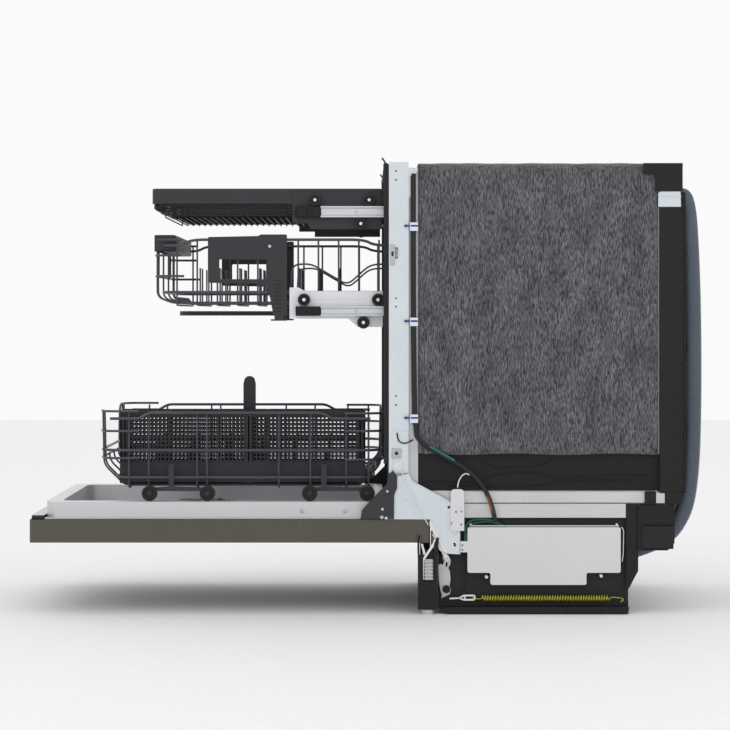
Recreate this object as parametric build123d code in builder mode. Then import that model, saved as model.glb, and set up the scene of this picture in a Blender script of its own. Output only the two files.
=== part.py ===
"""Built-in dishwasher, door open and all racks pulled out.

Frame: X to the right of the machine, Y from the door towards the wall, Z up.
X = 0 is the middle, Y = 0 the gasket plane of the tub mouth, Z = 0 the kitchen floor.
"""

import math
import os

from build123d import *

os.makedirs("parts", exist_ok=True)

# ---------------------------------------------------------------- driving dimensions (mm)
HALF_WIDTH = 301.5
CABINET_TOP = 860.0
HALF_TUB = 284.0
TUB_SHEET = 1.5
TUB_FRONT = 8.0
TUB_REAR = 555.0
TUB_TOP = 846.0
TRACK_HEIGHT = 212.0
WELL_FLOOR = 190.0
PIVOT_Y = 0.0
PIVOT_Z = 183.0

FLANGE_FACE = 297.0
FLANGE_SHEET = 2.0
FLANGE_FRONT = 5.5
FLANGE_REAR = 43.0

DOOR_FRONT = -678.0
DOOR_TAIL = 83.0
DOOR_HALF_WIDTH = 296.0
DOOR_UNDERSIDE = 136.0
DOOR_SEAM = 180.0
DOOR_SHEET = 1.0
LINER_FRONT = -651.0
LINER_HALF_WIDTH = 270.0

BASE_SIDE = 282.0
BASE_FRONT = 141.0
BASE_REAR = 462.0
BASE_TOP = 181.0

WHEEL_RADIUS = 15.0
WHEEL_AXLE_Z = TRACK_HEIGHT + WHEEL_RADIUS + 0.3
WHEEL_PLACES = (-453.0, -342.0, -146.0, -36.0)
AXLE_RADIUS = 3.0
RUNNING_FIT = 0.05

LOWER_FRONT = -549.0
LOWER_REAR = -5.0
LOWER_HALF = 243.0
RAIL_WIRE = 2.7
RACK_WIRE = 1.8
TINE_WIRE = 1.6
WIRE_GAP = 0.05

UPPER_FRONT = -431.0
UPPER_REAR = 67.0
UPPER_HALF = 238.0
UPPER_TOP = 714.0
UPPER_BOTTOM = 588.0

ROLLER_RADIUS = 12.0
THIRD_ROLLER_RADIUS = 11.4
SLIDE_RAIL_FRONT = -145.0
SLIDE_RAIL_REAR = 260.0

SPRING_Z = 30.0
LEVER_PIVOT = (115.0, 47.0)
LEVER_INNER = 285.5
LEVER_THICKNESS = 3.0
LEVER_BOLT = 5.0
STRAP_X = 290.9
STRAP_THICKNESS = 3.0


# ---------------------------------------------------------------- shared shapes
def block(x_range, y_range, z_range, mode=Mode.ADD):
    """A box between two corners."""
    middle = [(low + high) / 2 for low, high in (x_range, y_range, z_range)]
    size = [high - low for low, high in (x_range, y_range, z_range)]
    with Locations(tuple(middle)):
        Box(*size, mode=mode)


def both_sides():
    """Repeat everything built so far on the other side of the machine."""
    mirror(about=Plane.YZ)


def side_plate(outline, inner_x, thickness, mode=Mode.ADD):
    """A plate standing along the machine's side, outline given as (y, z) points."""
    with BuildSketch(Plane.YZ.offset(inner_x)) as profile:
        with BuildLine():
            Polyline(*outline, close=True)
        make_face()
    extrude(profile.sketch, amount=thickness, mode=mode)


def side_disc(y, z, radius, inner_x, thickness, mode=Mode.ADD):
    """A disc or a hole whose axis runs across the machine."""
    with BuildSketch(Plane.YZ.offset(inner_x)) as profile:
        with Locations((y, z)):
            Circle(radius)
    extrude(profile.sketch, amount=thickness, mode=mode)


def bars_across(places, length, radius):
    """Straight wires that run across the machine, centred on the places."""
    with Locations(*places):
        Cylinder(radius, length, rotation=(0, 90, 0))


def bars_along(places, length, radius):
    """Straight wires that run from front to back, centred on the places."""
    with Locations(*places):
        Cylinder(radius, length, rotation=(90, 0, 0))


def bars_up(places, length, radius):
    """Upright wires, centred on the places."""
    with Locations(*places):
        Cylinder(radius, length)


def bar(start, end, radius):
    """One straight wire between two points."""
    run = Vector(*end) - Vector(*start)
    with BuildSketch(Plane(origin=start, z_dir=run)) as profile:
        Circle(radius)
    extrude(profile.sketch, amount=run.length)


def wire_loop(half_width, front, rear, corner, height, radius):
    """A flat wire ring with cut corners, in eight straight runs that do not touch."""
    trim = radius + 0.2
    side_middle = (front + rear) / 2
    side_length = rear - front - 2 * corner - 2 * trim
    end_length = 2 * (half_width - corner - trim)
    bars_across([(0, front, height), (0, rear, height)], end_length, radius)
    bars_along([(-half_width, side_middle, height), (half_width, side_middle, height)], side_length, radius)
    inset = corner - trim
    for side in (-1, 1):
        for end, inward in ((front, 1), (rear, -1)):
            outer = (side * (half_width - trim / 2), end + inward * inset, height)
            inner = (side * (half_width - inset), end + inward * trim / 2, height)
            bar(outer, inner, radius)


def spread(first, last, count):
    """Evenly spaced values from first to last."""
    return [first + (last - first) * index / (count - 1) for index in range(count)]


def save(part, name):
    """Label one finished piece and write it beside the others."""
    part.label = name
    export_step(part, "parts/" + name + ".step")


# ---------------------------------------------------------------- tub
TUB_INNER = HALF_TUB - TUB_SHEET

with BuildPart() as tub_wrapper:
    block((TUB_INNER, HALF_TUB), (TUB_FRONT, TUB_REAR), (TRACK_HEIGHT + 0.1, TUB_TOP - TUB_SHEET - WIRE_GAP))
    both_sides()
    block((-HALF_TUB, HALF_TUB), (TUB_FRONT, TUB_REAR), (TUB_TOP - TUB_SHEET, TUB_TOP))
    block((-TUB_INNER + WIRE_GAP, TUB_INNER - WIRE_GAP), (TUB_REAR - TUB_SHEET, TUB_REAR),
          (TRACK_HEIGHT + 0.1, TUB_TOP - TUB_SHEET - WIRE_GAP))
save(tub_wrapper.part, "tub_wrapper")

WELL_HALF = 225.0
WELL_FRONT = 60.0
WELL_REAR = 470.0
FILTER_PLACE = (120.0, 197.0)
FILTER_RADIUS = 40.0
ARM_CENTRE_Y = 265.0
with BuildPart() as tub_floor:
    block((-HALF_TUB, HALF_TUB), (TUB_FRONT, TUB_REAR), (WELL_FLOOR - TUB_SHEET, TRACK_HEIGHT))
    block((-WELL_HALF, WELL_HALF), (WELL_FRONT, WELL_REAR), (WELL_FLOOR, TRACK_HEIGHT), Mode.SUBTRACT)
    block((-HALF_TUB, -WELL_HALF - TUB_SHEET), (TUB_FRONT, TUB_REAR),
          (WELL_FLOOR - TUB_SHEET, TRACK_HEIGHT - TUB_SHEET), Mode.SUBTRACT)
    block((WELL_HALF + TUB_SHEET, HALF_TUB), (TUB_FRONT, TUB_REAR),
          (WELL_FLOOR - TUB_SHEET, TRACK_HEIGHT - TUB_SHEET), Mode.SUBTRACT)
    with Locations((FILTER_PLACE[0], FILTER_PLACE[1], WELL_FLOOR)):
        Cylinder(FILTER_RADIUS + 2, 10, mode=Mode.SUBTRACT)
save(tub_floor.part, "tub_floor")

with BuildPart() as front_flange:
    block((FLANGE_FACE - FLANGE_SHEET, FLANGE_FACE), (FLANGE_FRONT, FLANGE_REAR), (269.0, CABINET_TOP))
    block((HALF_TUB + 0.2, FLANGE_FACE), (FLANGE_FRONT, FLANGE_FRONT + FLANGE_SHEET), (282.0, CABINET_TOP))
    for hole_z in (843, 826, 601, 585, 415, 398):
        side_disc(19, hole_z, 1.8, FLANGE_FACE - 5, 10, Mode.SUBTRACT)
    block((FLANGE_FACE - 5, FLANGE_FACE + 5), (13, 23), (676, 698), Mode.SUBTRACT)
    block((FLANGE_FACE - 5, FLANGE_FACE + 5), (12, 25), (296, 312), Mode.SUBTRACT)
    both_sides()
    top_edge = FLANGE_FACE - FLANGE_SHEET - 0.1
    block((-top_edge, top_edge), (FLANGE_FRONT + FLANGE_SHEET + 0.1, FLANGE_REAR),
          (CABINET_TOP - FLANGE_SHEET, CABINET_TOP))
    lip_edge = HALF_TUB + 0.1
    block((-lip_edge, lip_edge), (FLANGE_FRONT, FLANGE_FRONT + FLANGE_SHEET), (TUB_TOP + 0.1, CABINET_TOP))
    with Locations((-220, 26, CABINET_TOP), (220, 26, CABINET_TOP)):
        Cylinder(3.5, 10, mode=Mode.SUBTRACT)
save(front_flange.part, "front_flange")

GASKET_INNER = 283.0
GASKET_OUTER = 293.0
GASKET_FRONT = -4.0
with BuildPart() as door_gasket:
    block((GASKET_INNER, GASKET_OUTER), (GASKET_FRONT, FLANGE_FRONT - 0.1), (286.0, 866.0))
    both_sides()
    inner = GASKET_INNER - 0.1
    block((-inner, inner), (GASKET_FRONT, FLANGE_FRONT - 0.1), (848.0, 858.0))
save(door_gasket.part, "door_gasket")

# ---------------------------------------------------------------- hinge brackets
HINGE_PIN = 2.6
ARM_INNER = FLANGE_FACE + 0.3
ARM_THICKNESS = 2.2
BRACKET_OUTLINE = (
    (0.5, 180.6), (0.5, 190), (14, 192), (16, 233), (21, 262), (43.7, 267.5), (49.4, 254),
    (124, 214), (141, 159), (141, 114), (117, 115), (102, 121), (85, 166), (84, 180.4),
)
with BuildPart() as hinge_brackets:
    side_plate(BRACKET_OUTLINE, FLANGE_FACE - FLANGE_SHEET, FLANGE_SHEET)
    side_disc(130, 134, 2.2, FLANGE_FACE - 5, 10, Mode.SUBTRACT)
    block((HALF_TUB + 2.5, FLANGE_FACE - FLANGE_SHEET), (60, 120), (182.5, 208.0))
    side_disc(PIVOT_Y, PIVOT_Z, HINGE_PIN, FLANGE_FACE - FLANGE_SHEET, FLANGE_SHEET + 3.4)
    both_sides()
save(hinge_brackets.part, "hinge_brackets")

# ---------------------------------------------------------------- base
BASE_WALL = 3.0
with BuildPart() as base_pan:
    block((-BASE_SIDE, BASE_SIDE), (BASE_FRONT, BASE_REAR), (8.0, BASE_TOP))
    block((-BASE_SIDE, BASE_SIDE), (100.0, BASE_FRONT), (8.0, 112.0))
    block((-BASE_SIDE + BASE_WALL, BASE_SIDE - BASE_WALL), (BASE_FRONT + BASE_WALL, BASE_REAR - BASE_WALL),
          (12.0, BASE_TOP), Mode.SUBTRACT)
    block((-BASE_SIDE + BASE_WALL, BASE_SIDE - BASE_WALL), (103.0, BASE_FRONT + 4), (12.0, 112.0), Mode.SUBTRACT)
    with Locations((-250, 430, 8), (250, 430, 8)):
        Cylinder(5.1, 20, mode=Mode.SUBTRACT)
save(base_pan.part, "base_pan")

FOOT_PLACES = ((-282, 92), (282, 80), (-250, 430), (250, 430))
COLUMN_INNER = 262.0
RIGHT_COLUMN_FRONT = 61.0
LEFT_COLUMN_FRONT = 77.0
COLUMN_REAR = 98.0
COLUMN_TOP = 121.0
DOOR_SWEEP = 98.0
COLUMN_WALLS = (
    ((61, 95), (59.6, 120), (59.6, 136), (61.5, 150), (64.5, 150), (63.4, 134), (63.4, 120), (65, 95)),
    ((92, 95), (91, 134), (96.5, 146), (100.5, 146), (98, 118), (98, 95)),
)
SKIRT_OUTLINE = ((108, 14), (114, 1), (460, 1), (462, 14))
with BuildPart() as base_skirt:
    side_plate(SKIRT_OUTLINE, BASE_SIDE + 0.1, HALF_WIDTH - BASE_SIDE - 0.1)
    side_disc(*LEVER_PIVOT, LEVER_BOLT, BASE_SIDE + 0.1, 8)
    side_disc(*LEVER_PIVOT, LEVER_BOLT + 2.5, LEVER_INNER + LEVER_THICKNESS + 0.3, 3)
    both_sides()
    block((COLUMN_INNER, HALF_WIDTH), (RIGHT_COLUMN_FRONT, COLUMN_REAR), (9.0, COLUMN_TOP))
    block((-HALF_WIDTH, -COLUMN_INNER), (LEFT_COLUMN_FRONT, COLUMN_REAR), (9.0, COLUMN_TOP))
    for strap_x in (-STRAP_X, STRAP_X):
        block((strap_x - 2.2, strap_x + 2.2), (82.0, COLUMN_REAR + 1), (88.0, COLUMN_TOP + 1), Mode.SUBTRACT)
    side_disc(PIVOT_Y, PIVOT_Z, DOOR_SWEEP, -HALF_WIDTH - 1, 2 * HALF_WIDTH + 2, Mode.SUBTRACT)
    block((HALF_WIDTH - 5.5, HALF_WIDTH + 1), (70.5, 91.5), (62.7, COLUMN_TOP + 1), Mode.SUBTRACT)
    for wall_outline in COLUMN_WALLS:
        side_plate(wall_outline, FLANGE_FACE + 0.3, HALF_WIDTH - FLANGE_FACE - 0.3)
    with Locations(*[(x, y, 9) for x, y in FOOT_PLACES[:2]]):
        Cylinder(5.1, 50, mode=Mode.SUBTRACT)
save(base_skirt.part, "base_skirt")

with BuildPart() as levelling_feet:
    with Locations(*[(x, y, 4.0) for x, y in FOOT_PLACES]):
        Cylinder(14.5, 8.0)
    with Locations(*[(x, y, 17.0) for x, y in FOOT_PLACES]):
        Cylinder(5.0, 18.5)
save(levelling_feet.part, "levelling_feet")

with BuildPart() as base_rails:
    block((HALF_TUB + 0.2, 291.0), (125, 510), (213.0, 232.5))
    block((HALF_TUB + 0.2, 290.0), (125, 456.5), (183.0, 209.5))
    both_sides()
save(base_rails.part, "base_rails")

with BuildPart() as bitumen_pads:
    block((HALF_TUB + 0.1, HALF_TUB + 2.0), (61.0, 518.0), (234.0, 340.0))
    both_sides()
save(bitumen_pads.part, "bitumen_pads")

COVER_FACE = 299.6
COVER_OUTLINE = (
    (155, 79), (155, 165.5), (446, 165.5), (446, 79), (381, 79), (381, 56), (198.5, 56), (198.5, 79),
)
with BuildPart() as control_box_cover:
    side_plate(COVER_OUTLINE, BASE_SIDE + 0.2, COVER_FACE - BASE_SIDE - 0.2)
    fillet(control_box_cover.edges().filter_by(Axis.X), 4)
    block((BASE_SIDE + 0.2, COVER_FACE - 2), (158, 443), (82, 163), Mode.SUBTRACT)
    block((COVER_FACE - 3, COVER_FACE), (141.5, 156.5), (118, 139))
    for screw_y, screw_z in ((191, 71), (409, 73)):
        side_disc(screw_y, screw_z, 2.9, BASE_SIDE + 0.2, COVER_FACE - BASE_SIDE + 1)
save(control_box_cover.part, "control_box_cover")

with BuildPart() as terminal_box:
    block((FLANGE_FACE + 0.3, HALF_WIDTH), (122.8, 148.6), (159, 238))
    fillet(terminal_box.edges().filter_by(Axis.X).group_by(Axis.Z)[-1], 8)
save(terminal_box.part, "terminal_box")

# ---------------------------------------------------------------- insulation and rear
BLANKET_INNER = HALF_TUB + 2.4
BLANKET_OUTER = 291.5
with BuildPart() as insulation_blanket:
    block((-BLANKET_OUTER, BLANKET_OUTER), (61.5, 518), (304, 857.5))
    block((-BLANKET_INNER, BLANKET_INNER), (60, 520), (303, TUB_TOP + 0.4), Mode.SUBTRACT)
    fillet(insulation_blanket.edges().filter_by(Axis.Y).group_by(Axis.Z)[-1], 10)
save(insulation_blanket.part, "insulation_blanket")

REAR_BOX = ((479, 121), (479, 201), (490, 208), (549, 208), (549, 135), (536, 121))
REAR_STRUT = ((457, 48), (462.5, 48), (480.4, 82), (480.4, 209), (457, 209))
with BuildPart() as rear_frame:
    block((HALF_TUB + 0.2, 296.0), (521, 562), (230, 774))
    block((HALF_TUB + 0.2, 297.0), (521, 562), (775.5, 803))
    side_plate(REAR_BOX, HALF_TUB + 0.2, 10)
    side_plate(REAR_STRUT, HALF_TUB + 0.2, 6)
    block((BLANKET_OUTER + 0.5, 299.0), (512, 564), (805, 858))
    block((BLANKET_OUTER + 0.5, 299.0), (490, 512), (838, 858))
    both_sides()
    block((-BLANKET_OUTER - 0.5, BLANKET_OUTER + 0.5), (556.0, 564), (846.3, 858))
    for clip_z, clip_rear in ((350, 570.5), (500, 570.5), (720, 564.5)):
        block((246, 290), (555.3, clip_rear), (clip_z, clip_z + 14))
save(rear_frame.part, "rear_frame")

HOSE_RADIUS = 16.5
HOSE_RISING_X = 266.0
HOSE_FALLING_X = 66.0
HOSE_ROUTE = (
    (HOSE_RISING_X, 474, 120), (HOSE_RISING_X, 532, 138), (HOSE_RISING_X, 566, 182), (HOSE_RISING_X, 580, 232),
    (HOSE_RISING_X, 588, 340), (HOSE_RISING_X, 588, 600), (HOSE_RISING_X, 578, 800),
    (HOSE_FALLING_X, 578, 800), (HOSE_FALLING_X, 590, 600), (HOSE_FALLING_X, 600, 370),
    (HOSE_FALLING_X, 594, 262), (HOSE_FALLING_X, 581, 184), (HOSE_FALLING_X, 540, 130), (HOSE_FALLING_X, 474, 112),
)


def route_radii(route):
    """The largest tangent arc at each corner of a route, by its turn and its shorter run."""
    radii = []
    for before, corner, after in zip(route, route[1:], route[2:]):
        run_in = Vector(*corner) - Vector(*before)
        run_out = Vector(*after) - Vector(*corner)
        half_turn = math.radians(run_in.get_angle(run_out)) / 2
        radii.append(0.45 * min(run_in.length, run_out.length) / math.tan(half_turn))
    return radii


HOSE_RADII = route_radii(HOSE_ROUTE)
print("drain hose radii:", [round(radius) for radius in HOSE_RADII])
with BuildPart() as drain_hose:
    with BuildLine():
        FilletPolyline(*HOSE_ROUTE, radius=HOSE_RADII)
    with BuildSketch(Plane(origin=HOSE_ROUTE[0], z_dir=Vector(*HOSE_ROUTE[1]) - Vector(*HOSE_ROUTE[0]))):
        Circle(HOSE_RADIUS)
        Circle(HOSE_RADIUS - 3, mode=Mode.SUBTRACT)
    sweep()
save(drain_hose.part, "drain_hose")

HARNESS_X = 296.3
HARNESS_RADIUS = 4.5
HARNESS_ROUTE = (
    (HARNESS_X, 52.5, 838), (HARNESS_X, 52.5, 352), (HARNESS_X, 64, 327), (HARNESS_X, 106, 303),
    (HARNESS_X, 163, 271), (HARNESS_X, 200, 222), (HARNESS_X, 208, 176),
)
with BuildPart() as wire_harness:
    with BuildLine():
        FilletPolyline(*HARNESS_ROUTE, radius=(30, 40, 60, 60, 40))
    with BuildSketch(Plane(origin=HARNESS_ROUTE[0], z_dir=(0, 0, -1))):
        Circle(HARNESS_RADIUS)
    sweep()
save(wire_harness.part, "wire_harness")

with BuildPart() as harness_clips:
    for clip_z in (737, 556, 372):
        block((HALF_TUB + 0.3, HALF_WIDTH - 0.1), (45.5, 60.8), (clip_z - 8, clip_z + 8))
        with Locations((HARNESS_X, 52.5, clip_z)):
            Cylinder(HARNESS_RADIUS + 0.2, 30, mode=Mode.SUBTRACT)
save(harness_clips.part, "harness_clips")

# ---------------------------------------------------------------- water system
SUMP_FLOOR = 130.0
with BuildPart() as sump:
    with Locations((FILTER_PLACE[0], FILTER_PLACE[1], (WELL_FLOOR + SUMP_FLOOR) / 2 - 1)):
        Cylinder(FILTER_RADIUS + 8, WELL_FLOOR - SUMP_FLOOR - 2)
    with Locations((FILTER_PLACE[0], FILTER_PLACE[1], (WELL_FLOOR + SUMP_FLOOR) / 2 + 3)):
        Cylinder(FILTER_RADIUS + 4, WELL_FLOOR - SUMP_FLOOR, mode=Mode.SUBTRACT)
save(sump.part, "sump")

with BuildPart() as filter_basket:
    with Locations((FILTER_PLACE[0], FILTER_PLACE[1], 168)):
        Cylinder(FILTER_RADIUS, 46)
    with Locations((FILTER_PLACE[0], FILTER_PLACE[1], 170)):
        Cylinder(FILTER_RADIUS - 3, 46, mode=Mode.SUBTRACT)
    with Locations((FILTER_PLACE[0], FILTER_PLACE[1], 189)):
        Box(2 * FILTER_RADIUS - 4, 7, 4)
save(filter_basket.part, "filter_basket")

with BuildPart() as pumps:
    with Locations((-70, 210, 80)):
        Cylinder(46, 150, rotation=(0, 90, 0))
    with Locations((-70, 330, 60)):
        Cylinder(28, 90, rotation=(0, 90, 0))
    block((-120, -20), (180, 350), (12.5, 40))
save(pumps.part, "pumps")

INLET_PLACE = (-240.0, 90.0)
with BuildPart() as inlet_valve:
    block((-258, -222), (BASE_REAR + 0.2, 500), (60, 120))
    with Locations((INLET_PLACE[0], 507, INLET_PLACE[1])):
        Cylinder(13.2, 14, rotation=(90, 0, 0))
    with Locations((INLET_PLACE[0], 507, INLET_PLACE[1])):
        Cylinder(8.0, 14, rotation=(90, 0, 0), mode=Mode.SUBTRACT)
save(inlet_valve.part, "inlet_valve")

ELEMENT_RADIUS = 190.0
with BuildPart() as heating_element:
    with Locations((0, ARM_CENTRE_Y, 196)):
        Torus(ELEMENT_RADIUS, 3.5)
    bars_up([(-12, ARM_CENTRE_Y + ELEMENT_RADIUS, 193), (12, ARM_CENTRE_Y + ELEMENT_RADIUS, 193)], 5.5, 4)
save(heating_element.part, "heating_element")

with BuildPart() as feed_tube:
    block((-14, 14), (547, 553.3), (214, 836))
    block((-12, 12), (318, 550), (834, 844))
    with Locations((0, 300, 839)):
        Cylinder(24, 10)
    with Locations((0, ARM_CENTRE_Y, 196)):
        Cylinder(14, 11.8)
    with Locations((0, ARM_CENTRE_Y, 204)):
        Cylinder(6, 16)
    with Locations((0, 300, 828)):
        Cylinder(6, 13)
    fillet(feed_tube.edges().filter_by(Axis.Z).group_by(Axis.Y)[-1], 2)
save(feed_tube.part, "feed_tube")


def spray_arm(centre, half_length, half_width, bottom, height, hub_radius, hub_depth):
    """A flat two-sided spray arm with a hub under it and a bore for its spindle."""
    x, y = centre
    with BuildSketch(Plane.XY.offset(bottom)) as profile:
        with Locations((x, y)):
            SlotOverall(2 * half_length, 2 * half_width)
    extrude(profile.sketch, amount=height)
    with Locations((x, y, bottom - hub_depth / 2)):
        Cylinder(hub_radius, hub_depth)
    with Locations((x, y, bottom)):
        Cylinder(6 + RUNNING_FIT, 60, mode=Mode.SUBTRACT)
    nozzles = [place for place in spread(-half_length + 25, half_length - 25, 8) if abs(place) > hub_radius]
    with Locations(*[(x + place, y, bottom + height) for place in nozzles]):
        Cylinder(3, 4, mode=Mode.SUBTRACT)


with BuildPart() as lower_spray_arm:
    spray_arm((0, ARM_CENTRE_Y), 190, 22, 206, 12, 18, 3.5)
save(lower_spray_arm.part, "lower_spray_arm")

with BuildPart() as top_spray_arm:
    spray_arm((0, 300), 160, 18, 822, 7, 14, 0.5)
save(top_spray_arm.part, "top_spray_arm")

# ---------------------------------------------------------------- telescopic rails
RAIL_INNER = 253.0
RAIL_OUTER = 262.0
UPPER_RAIL = (567.0, 586.0)
THIRD_RAIL = (756.0, 778.0)
with BuildPart() as rail_channels:
    for low, high in (UPPER_RAIL, THIRD_RAIL):
        block((RAIL_OUTER + 0.4, TUB_INNER - 0.1), (64, 500), (low - 5, high + 5))
    both_sides()
save(rail_channels.part, "rail_channels")


def slide_rail(levels):
    """The moving member of one pair of telescopic rails, with its end caps."""
    low, high = levels
    block((RAIL_INNER, RAIL_OUTER), (SLIDE_RAIL_FRONT, SLIDE_RAIL_REAR), (low, high))
    block((RAIL_INNER + 1.5, RAIL_OUTER + 0.1), (SLIDE_RAIL_FRONT - 5, SLIDE_RAIL_REAR + 5),
          (low + 6, high - 6), Mode.SUBTRACT)
    block((RAIL_INNER, RAIL_OUTER), (SLIDE_RAIL_FRONT - 29, SLIDE_RAIL_FRONT + 12), (low - 0.3, high + 0.3))
    both_sides()


with BuildPart() as upper_rails:
    slide_rail((567.4, 585.6))
save(upper_rails.part, "upper_rails")

with BuildPart() as third_rails:
    slide_rail((756.4, 777.6))
save(third_rails.part, "third_rails")


def roller_pair(y, z, radius, inner, outer):
    """A left and a right wheel on one line, each with a bore for its stub axle."""
    side_disc(y, z, radius, inner, outer - inner)
    side_disc(y, z, AXLE_RADIUS + RUNNING_FIT, inner - 1, outer - inner + 2, Mode.SUBTRACT)
    both_sides()


# ---------------------------------------------------------------- door
SKIN_INNER = DOOR_HALF_WIDTH - DOOR_SHEET
SKIN_FLOOR = DOOR_UNDERSIDE + DOOR_SHEET
with BuildPart() as door_outer_panel:
    block((-DOOR_HALF_WIDTH, DOOR_HALF_WIDTH), (DOOR_FRONT, DOOR_TAIL), (DOOR_UNDERSIDE, DOOR_SEAM - 0.2))
    fillet(door_outer_panel.edges().filter_by(Axis.Z), 3)
    block((-SKIN_INNER, SKIN_INNER), (DOOR_FRONT + DOOR_SHEET, DOOR_TAIL - DOOR_SHEET),
          (SKIN_FLOOR, DOOR_SEAM), Mode.SUBTRACT)
save(door_outer_panel.part, "door_outer_panel")

LINER_EDGE = 285.0
POCKET_HALF = 236.0
POCKET_FLOOR = 170.0
with BuildPart() as door_inner_panel:
    with BuildSketch(Plane.XY.offset(DOOR_SEAM)):
        with Locations((0, (LINER_FRONT - 4) / 2)):
            Rectangle(2 * LINER_EDGE, -LINER_FRONT - 4)
    extrude(amount=2)
    with BuildSketch(Plane.XY.offset(DOOR_SEAM)):
        with Locations((0, LINER_FRONT / 2 - 2)):
            RectangleRounded(2 * LINER_HALF_WIDTH, -LINER_FRONT - 4, 27)
    extrude(amount=TRACK_HEIGHT - DOOR_SEAM)
    with BuildSketch(Plane.XY.offset(DOOR_SEAM - 0.1)):
        with Locations((0, LINER_FRONT / 2 - 2)):
            RectangleRounded(2 * LINER_HALF_WIDTH - 2, -LINER_FRONT - 6, 26)
    extrude(amount=TRACK_HEIGHT - DOOR_SEAM - 1 + 0.1, mode=Mode.SUBTRACT)
    pocket_middle = (0, LINER_FRONT / 2 - 2)
    pocket_length = -LINER_FRONT - 60
    with BuildSketch(Plane.XY.offset(POCKET_FLOOR)):
        with Locations(pocket_middle):
            RectangleRounded(2 * POCKET_HALF + 2, pocket_length + 2, 21)
    extrude(amount=TRACK_HEIGHT - POCKET_FLOOR)
    with BuildSketch(Plane.XY.offset(POCKET_FLOOR + 1)):
        with Locations(pocket_middle):
            RectangleRounded(2 * POCKET_HALF, pocket_length, 20)
    extrude(amount=TRACK_HEIGHT - POCKET_FLOOR, mode=Mode.SUBTRACT)
    for screw_y in (-158, -77):
        side_disc(screw_y, 197, 5.5, LINER_HALF_WIDTH, 1.4)
        side_disc(screw_y, 197, 5.5, -LINER_HALF_WIDTH - 1.4, 1.4)
save(door_inner_panel.part, "door_inner_panel")

ARM_OUTLINE = (
    (12.7, 274), (21, 262), (21, 240), (15.6, 227), (15, 181.2), (-48.6, 181.2), (-45.8, 198),
    (-29, 217), (1.5, 248), (3, 262),
)
with BuildPart() as hinge_arms:
    side_plate(ARM_OUTLINE, ARM_INNER, ARM_THICKNESS)
    side_disc(PIVOT_Y, PIVOT_Z, HINGE_PIN + RUNNING_FIT, ARM_INNER - 5, 20, Mode.SUBTRACT)
    for rivet_y, rivet_z in ((2.4, 234), (-6.8, 200)):
        side_disc(rivet_y, rivet_z, 4.2, ARM_INNER + ARM_THICKNESS, 1.2)
    block((LINER_EDGE + 0.2, ARM_INNER), (-47, -9), (181.2, 183.2))
    both_sides()
save(hinge_arms.part, "hinge_arms")

with BuildPart() as control_panel:
    block((-280, 280), (DOOR_FRONT + 2, LINER_FRONT - 2), (160, 187))
    block((-8, 8), (DOOR_FRONT + 7, LINER_FRONT - 7), (176, 190), Mode.SUBTRACT)
    block((52, 68), (DOOR_FRONT + 7, LINER_FRONT - 7), (176, 190), Mode.SUBTRACT)
save(control_panel.part, "control_panel")

BUTTON_GAP = 0.25
for button_x, button_name in ((0, "power_button"), (60, "start_button")):
    with BuildPart() as button:
        block((button_x - 8 + BUTTON_GAP, button_x + 8 - BUTTON_GAP),
              (DOOR_FRONT + 7 + BUTTON_GAP, LINER_FRONT - 7 - BUTTON_GAP), (179, 188.5))
        fillet(button.edges().filter_by(Axis.Z), 2)
    save(button.part, button_name)

with BuildPart() as dispenser_housing:
    block((-90, 90), (-425, -300), (POCKET_FLOOR + 1.1, 190))
    fillet(dispenser_housing.edges().filter_by(Axis.Z), 12)
    block((-70, 10), (-412, -330), (178, 190), Mode.SUBTRACT)
    with Locations((52, -362, 190)):
        Cylinder(21.3, 16, mode=Mode.SUBTRACT)
save(dispenser_housing.part, "dispenser_housing")

with BuildPart() as dispenser_lid:
    block((-74, 14), (-416, -326), (190.2, 194))
    fillet(dispenser_lid.edges().filter_by(Axis.Z), 8)
    block((-60, 0), (-338, -332), (194, 197))
save(dispenser_lid.part, "dispenser_lid")

with BuildPart() as rinse_aid_cap:
    with Locations((52, -362, 188)):
        Cylinder(21, 11)
    with Locations((52, -362, 195.5)):
        Box(32, 5, 5)
save(rinse_aid_cap.part, "rinse_aid_cap")

# ---------------------------------------------------------------- door balance
LEVER_OUTLINE = (
    (110.4, 112.7), (118.9, 111), (123.5, 102.5), (122.3, 93.4), (118.6, 87.3), (121.6, 80.5), (123, 65.2),
    (121, 53.3), (123.8, 46.5), (121.6, 37.1), (105.3, 29.6), (106.7, 34.7), (103.3, 46.5), (100.9, 63.5),
    (100, 83.9), (100, 93.4), (104.6, 95.1), (108, 92.7), (110.7, 99.4), (107.4, 106.9),
)
LEVER_SLOT = ((113.4, 89), (116.4, 89), (117.8, 96), (115.6, 99), (113.6, 96))
STRAP_PIN = (116.5, 105.0)
STRAP_OUTLINE = ((113, 103), (87.5, 151), (91.5, 154.5), (120.5, 107))
with BuildPart() as balance_levers:
    side_plate(LEVER_OUTLINE, LEVER_INNER, LEVER_THICKNESS)
    side_plate(LEVER_SLOT, LEVER_INNER - 1, LEVER_THICKNESS + 2, Mode.SUBTRACT)
    side_disc(*LEVER_PIVOT, LEVER_BOLT + RUNNING_FIT, LEVER_INNER - 2, 10, Mode.SUBTRACT)
    side_disc(*STRAP_PIN, 2.0, LEVER_INNER + LEVER_THICKNESS, 6)
    both_sides()
save(balance_levers.part, "balance_levers")

with BuildPart() as balance_straps:
    side_plate(STRAP_OUTLINE, STRAP_X - STRAP_THICKNESS / 2, STRAP_THICKNESS)
    side_disc(*STRAP_PIN, 4.4, STRAP_X - STRAP_THICKNESS / 2, STRAP_THICKNESS)
    side_disc(*STRAP_PIN, 2.0 + RUNNING_FIT, 285, 12, Mode.SUBTRACT)
    both_sides()
save(balance_straps.part, "balance_straps")

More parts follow.
